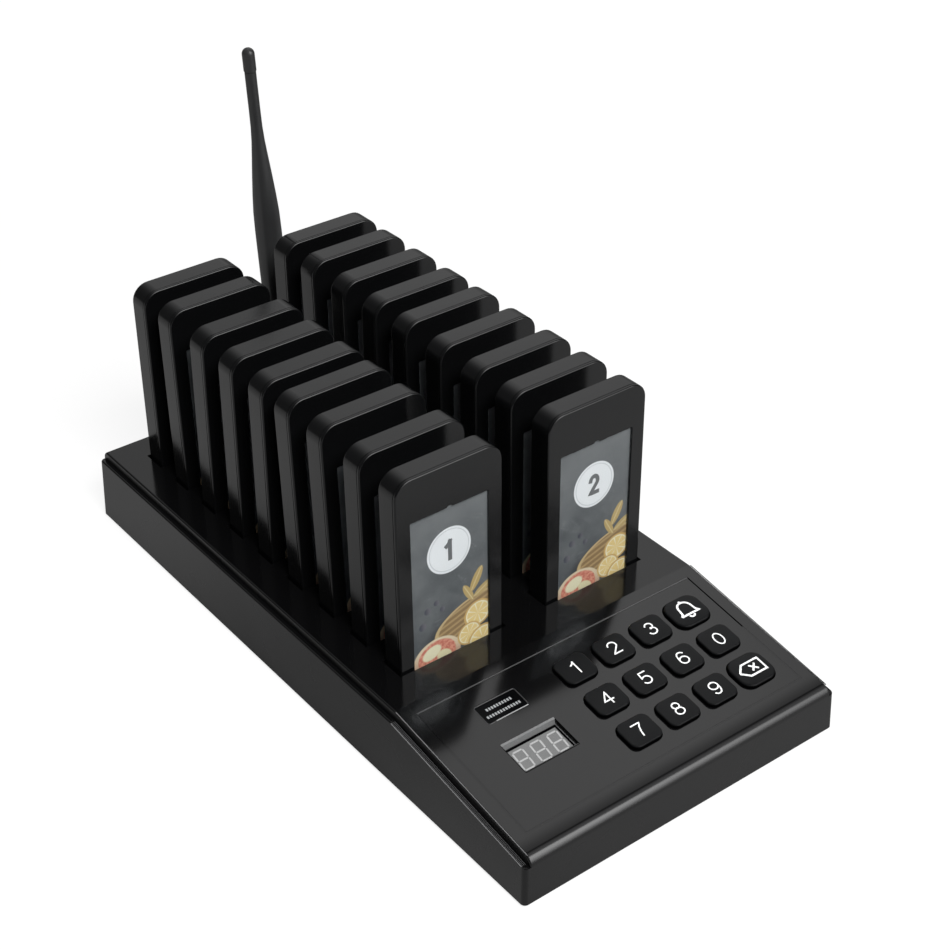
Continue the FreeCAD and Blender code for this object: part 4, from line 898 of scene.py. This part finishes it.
def make_badge():
    """Two rows of plain ticks where a badge would have its words, inside a fine rim with a pale bar on its
    front edge as a painted highlight.
    """
    place, bead = panel_frame(*BADGE_AT), 0.26
    rings = []
    for i in range(10):
        angle = math.radians(36 * i)
        grow, z = bead * math.cos(angle), bead * math.sin(angle)
        outline = rounded(9.5 + grow, -4.75 - grow, 4.75 + grow, 1.0 + grow, 1.0 + grow, 5)
        rings.append(flat(outline, z - 0.18))
    trim("badge_rim", loft("badge_rim", rings, RIM, "join", "join", 60), place)
    # A pale bar along the rim's front edge: a painted highlight.
    highlight_bar = block("badge_highlight_bar", (-5.8, -4.98, -0.05), (9.1, -4.66, 0.12), SEGMENT_AND_HIGHLIGHT)
    trim("badge_highlight_bar", highlight_bar, place)
    shapes = []
    for count, y in ((10, 1.55), (13, -1.65)):
        for k in range(count):
            x = (k - (count - 1) / 2) * 1.22
            shapes.append(square(x - 0.36, y - 0.62, x + 0.36, y + 0.62))
    marks = plaques("badge_marks", shapes, -0.02, 0.05, FINE_LINE)
    trim("badge_marks", marks, panel_frame(*BADGE_AT, BADGE_DEPTH), weighted=False)


def make_outline_fill():
    """The outline's groove is all but filled on three sides, and has a grey strip along its head as a painted
    highlight.
    """
    out, wide, head, foot = 67.75, 0.6, 5.3, 70.85
    for side, low, high, material in (
            ("left", (-out, -foot), (-out + wide, -head), SHELL),
            ("foot", (-out + wide, -foot), (out - wide, wide - foot), SHELL),
            ("right", (out - wide, -foot), (out, -38.0), SHELL),
            # The grey head strip is a painted highlight.
            ("head", (-out + wide, -head - 0.32), (out - 0.2, -head), OUTLINE_HIGHLIGHT)):
        name = f"outline_fill_{side}"
        trim(name, block(name, (*low, -0.38), (*high, -0.03), material), panel_frame(0, 0))


def make_ledge_lines():
    """Lines along each side of the sloped panel: its two edges and three beads on the ledge between.

    Only those on the left side are grey, as painted highlights; on the right they are as black as the
    housing.
    """
    rear, front = KINK_Y - 1.0, -148.6
    fall = (KINK_Y - front) * math.tan(SLOPE)
    # The grey of the left side's edge lines and beads is painted highlight.
    lines = ((73.28, -0.05, 0.19, LEDGE_HIGHLIGHT), (74.0, 3.9, 0.13, BEAD_HIGHLIGHT), (74.6, 3.9, 0.13, BEAD_HIGHLIGHT),
             (75.2, 3.9, 0.13, BEAD_HIGHLIGHT), (75.75, 3.95, 0.22, LEDGE_HIGHLIGHT))
    turns = [math.radians(30 * i) for i in range(12)]
    for side, sign in (("left", -1), ("right", 1)):
        for index, (across, drop, radius, material) in enumerate(lines):
            rings = [[(sign * (across + radius * math.cos(a)), y, z + radius * math.sin(a)) for a in turns]
                     for y, z in ((rear, TOP - drop), (front, TOP - drop - fall))]
            name = f"ledge_line_{side}_{index + 1}"
            bead = loft(name, rings, material if sign < 0 else SHELL, "cap", "cap", 60)
            trim(name, bead, None)


make_display()
make_badge()
make_outline_fill()
make_ledge_lines()


# ---------------------------------------------------------------- aerial
SLEEVE, ROD, CAP, MAST_TOP = 6.1, 2.55, 2.80, 174.7  # radii and the height above the hinge, in millimetres


def mast_profile():
    """Radius and height above the hinge: rounded root, sleeve, eased taper, rod and cap."""
    points = []
    for degrees in range(0, 91, 15):
        angle = math.radians(degrees)
        points.append((4.3 + 1.7 * math.sin(angle), -4.55 + 2.9 * (1 - math.cos(angle))))
    points += [(SLEEVE, 40.0), (SLEEVE, 80.0)]
    taper = ((80.0, SLEEVE), (87.0, 6.08), (96.0, 5.92), (105.0, 5.33), (114.0, 4.56), (123.0, 3.70),
            (131.0, 2.98), (138.0, 2.62), (146.0, ROD))
    for (low, r0), (high, r1) in zip(taper, taper[1:]):
        points += [(r0 + (r1 - r0) * k / 4, low + (high - low) * k / 4) for k in range(1, 5)]
    points += [(ROD, 163.7), (2.38, 163.8), (2.38, 164.2), (CAP, 164.3), (CAP, 171.9)]
    for degrees in range(12, 85, 12):
        angle = math.radians(degrees)
        points.append((CAP * math.cos(angle), 171.9 + 2.75 * math.sin(angle)))
    return points


def slotted(mesh, low, high):
    """A mesh with a box cut out of it."""
    carrier = added("mast_slotted", mesh)
    tool = added("mast_cutter", block("mast_cutter", low, high, AERIAL))
    cutting = carrier.modifiers.new("cut", "BOOLEAN")
    cutting.object = tool
    cutting.operation = "DIFFERENCE"
    bpy.context.view_layer.update()
    result = bpy.data.meshes.new_from_object(carrier.evaluated_get(bpy.context.evaluated_depsgraph_get()))
    for item in (carrier, tool):
        bpy.data.objects.remove(item)
    return finish_mesh(result, 40)


def make_mast():
    """The mast: very slightly squared along its sleeve, round at the rod, slotted over the tongue."""
    rings, sides = [], 56
    for radius, height in mast_profile():
        flats = 0.03 * max(0.0, min(1.0, (130.0 - height) / 40.0))
        ring = []
        for i in range(sides):
            angle = 2 * math.pi * i / sides
            reach = radius * (1 - flats * (0.5 + 0.5 * math.cos(4 * angle)))
            ring.append((reach * math.cos(angle), reach * math.sin(angle), height))
        rings.append(ring)
    mesh = loft("mast_turned", rings, AERIAL, "cap", (0, 0, MAST_TOP), 40)
    mesh = slotted(mesh, (-2.8, -8, -6), (2.8, 8, 5.8))
    hinge = joints["antenna_tilt"]
    across, back = Vector(hinge["axis"]) * -1, Vector((0, 1, 0))
    place = axes_at(Vector(hinge["pos_m"]), across, back, across.cross(back))
    show("aerial_mast", mesh, "antenna_mast", ["antenna_mast"], place)


make_mast()


# ---------------------------------------------------------------- studio
FLOOR_HALF, FLOOR_DROP = 6.0, 0.0002  # in metres
GLOW_NEAR, GLOW_FAR = 0.84, 0.93  # what the floor adds for the camera, by the object and away from it
EVEN_LIGHT, GLOSSY_LEAST = 0.18, 0.035  # the world's light on matt surfaces, and the least in reflections


def make_floor():
    """A pale floor that keeps the shadow, looks near white, and shows in the gloss as soft cards.

    The cards lie ahead, beside and behind the object; each is a share of the camera's white.
    """
    corners = flat(square(-FLOOR_HALF, -FLOOR_HALF, FLOOR_HALF, FLOOR_HALF), 0)
    mesh = bpy.data.meshes.new("floor")
    mesh.from_pydata(corners, [], [(0, 1, 2, 3)])
    floor = added("floor", mesh)
    floor.location.z = -FLOOR_DROP
    made = Finish("floor_white", Roughness=0.7, Specular_IOR_Level=0.1)
    made.colour(made.blend(made.noise(3, 2), (0.145, 0.145, 0.145, 1), (0.155, 0.155, 0.155, 1)))
    path = made.add("ShaderNodeLightPath").outputs
    across, along = made.parts(made.coordinates["Object"])[:2]
    ahead = made.product(made.between(across, -0.13, -0.03), made.between(along, -0.12, -0.03, 0.25, 0.02))
    beside = made.between(across, -0.13, -0.03, 0.10, 0.0)
    behind = made.product(made.between(along, 0.0, 0.16, 0.0, 0.16),
                          made.between(across, -0.07, 0.01, 1.0, 0.3))
    cards = made.math("ADD", ahead, made.math("ADD", beside, behind))
    away = made.add("ShaderNodeVectorMath", operation="LENGTH")
    made.put(away.inputs[0], made.coordinates["Object"])
    seen = made.between(away.outputs["Value"], 0.3, 1.0, GLOW_NEAR, GLOW_FAR)
    mirrored = made.math("MAXIMUM", path["Is Glossy Ray"], path["Is Transmission Ray"])
    glow = made.add("ShaderNodeEmission")
    made.put(glow.inputs["Strength"], made.math("ADD", made.product(path["Is Camera Ray"], seen),
                                                made.product(mirrored, cards)))
    both = made.add("ShaderNodeAddShader")
    made.put(both.inputs[0], made.shader.outputs[0])
    made.put(both.inputs[1], glow.outputs[0])
    made.put(made.output.inputs["Surface"], both.outputs[0])
    mesh.materials.append(made.material)


def make_world():
    """White for the camera; for reflections a studio that is bright at the right and dark at the left."""
    world = bpy.data.worlds.new("studio")
    bpy.context.scene.world = world
    made = Graph(world)

    def background(strength):
        node = made.add("ShaderNodeBackground")
        made.put(node.inputs["Strength"], strength)
        return node

    view = made.add("ShaderNodeTexCoord").outputs["Generated"]
    x, y, z = made.parts(view)
    aim = made.add("ShaderNodeVectorMath", operation="DOT_PRODUCT")
    made.put(aim.inputs[0], view)
    aim.inputs[1].default_value = (0.55, 0.30, 0.78)
    toward = made.between(aim.outputs["Value"], 0.0, 1.0, 0.0, 1.0, "LINEAR")
    bands = made.product(made.between(z, 0.43, 0.56, 1.18, 0.84), made.between(z, 0.60, 0.74, 1.0, 1.17))
    rear = made.product(made.math("POWER", toward, 4.5), 1.6, made.between(y, 0.04, 0.22), bands,
                        made.between(x, 0.565, 0.60, 1.0, 0.78))
    front = made.product(made.between(y, -0.66, -0.48, 6.5, 0.0), made.between(z, 0.0, 0.50, 0.40, 1.0),
                         made.between(x, -0.30, 0.35), made.between(x, 0.46, 0.66, 1.0, 0.4))
    left = made.product(made.between(x, -0.40, -0.05, 0.06, 0.0), made.between(y, 0.0, 0.5, 0.4, 1.0))
    strength = made.math("ADD", made.math("ADD", rear, front), left)
    studio = background(made.math("ADD", strength, GLOSSY_LEAST))
    even, white = background(EVEN_LIGHT), background(1.0)
    white.inputs["Color"].default_value = (1, 1, 1, 1)
    path = made.add("ShaderNodeLightPath").outputs
    mirrored = made.math("MAXIMUM", path["Is Glossy Ray"], path["Is Transmission Ray"])
    by_gloss = made.mixed(mirrored, even.outputs[0], studio.outputs[0])
    by_camera = made.mixed(path["Is Camera Ray"], by_gloss, white.outputs[0])
    made.put(made.add("ShaderNodeOutputWorld").inputs["Surface"], by_camera)


LAMP_DISTANCE, LAMP_AIM = 1.7, Vector((0.0, 0.0, 0.05))


def make_lamp(name, toward, size, power):
    """A soft box that lights the object and isn't mirrored in it."""
    data = bpy.data.lights.new(name, "AREA")
    data.shape = "RECTANGLE"
    data.size, data.size_y = size
    data.energy = power
    lamp = added(name, data)
    direction = Vector(toward).normalized()
    lamp.location = LAMP_AIM + direction * LAMP_DISTANCE
    lamp.rotation_mode = "QUATERNION"
    lamp.rotation_quaternion = direction.to_track_quat("Z", "Y")
    lamp.visible_glossy = False


make_floor()
make_world()
make_lamp("key_softbox", (-0.15, -0.65, 0.75), (0.7, 0.5), 40.0)
make_lamp("top_softbox", (0.05, 0.02, 1.0), (0.9, 0.5), 10.0)


bpy.context.view_layer.update()
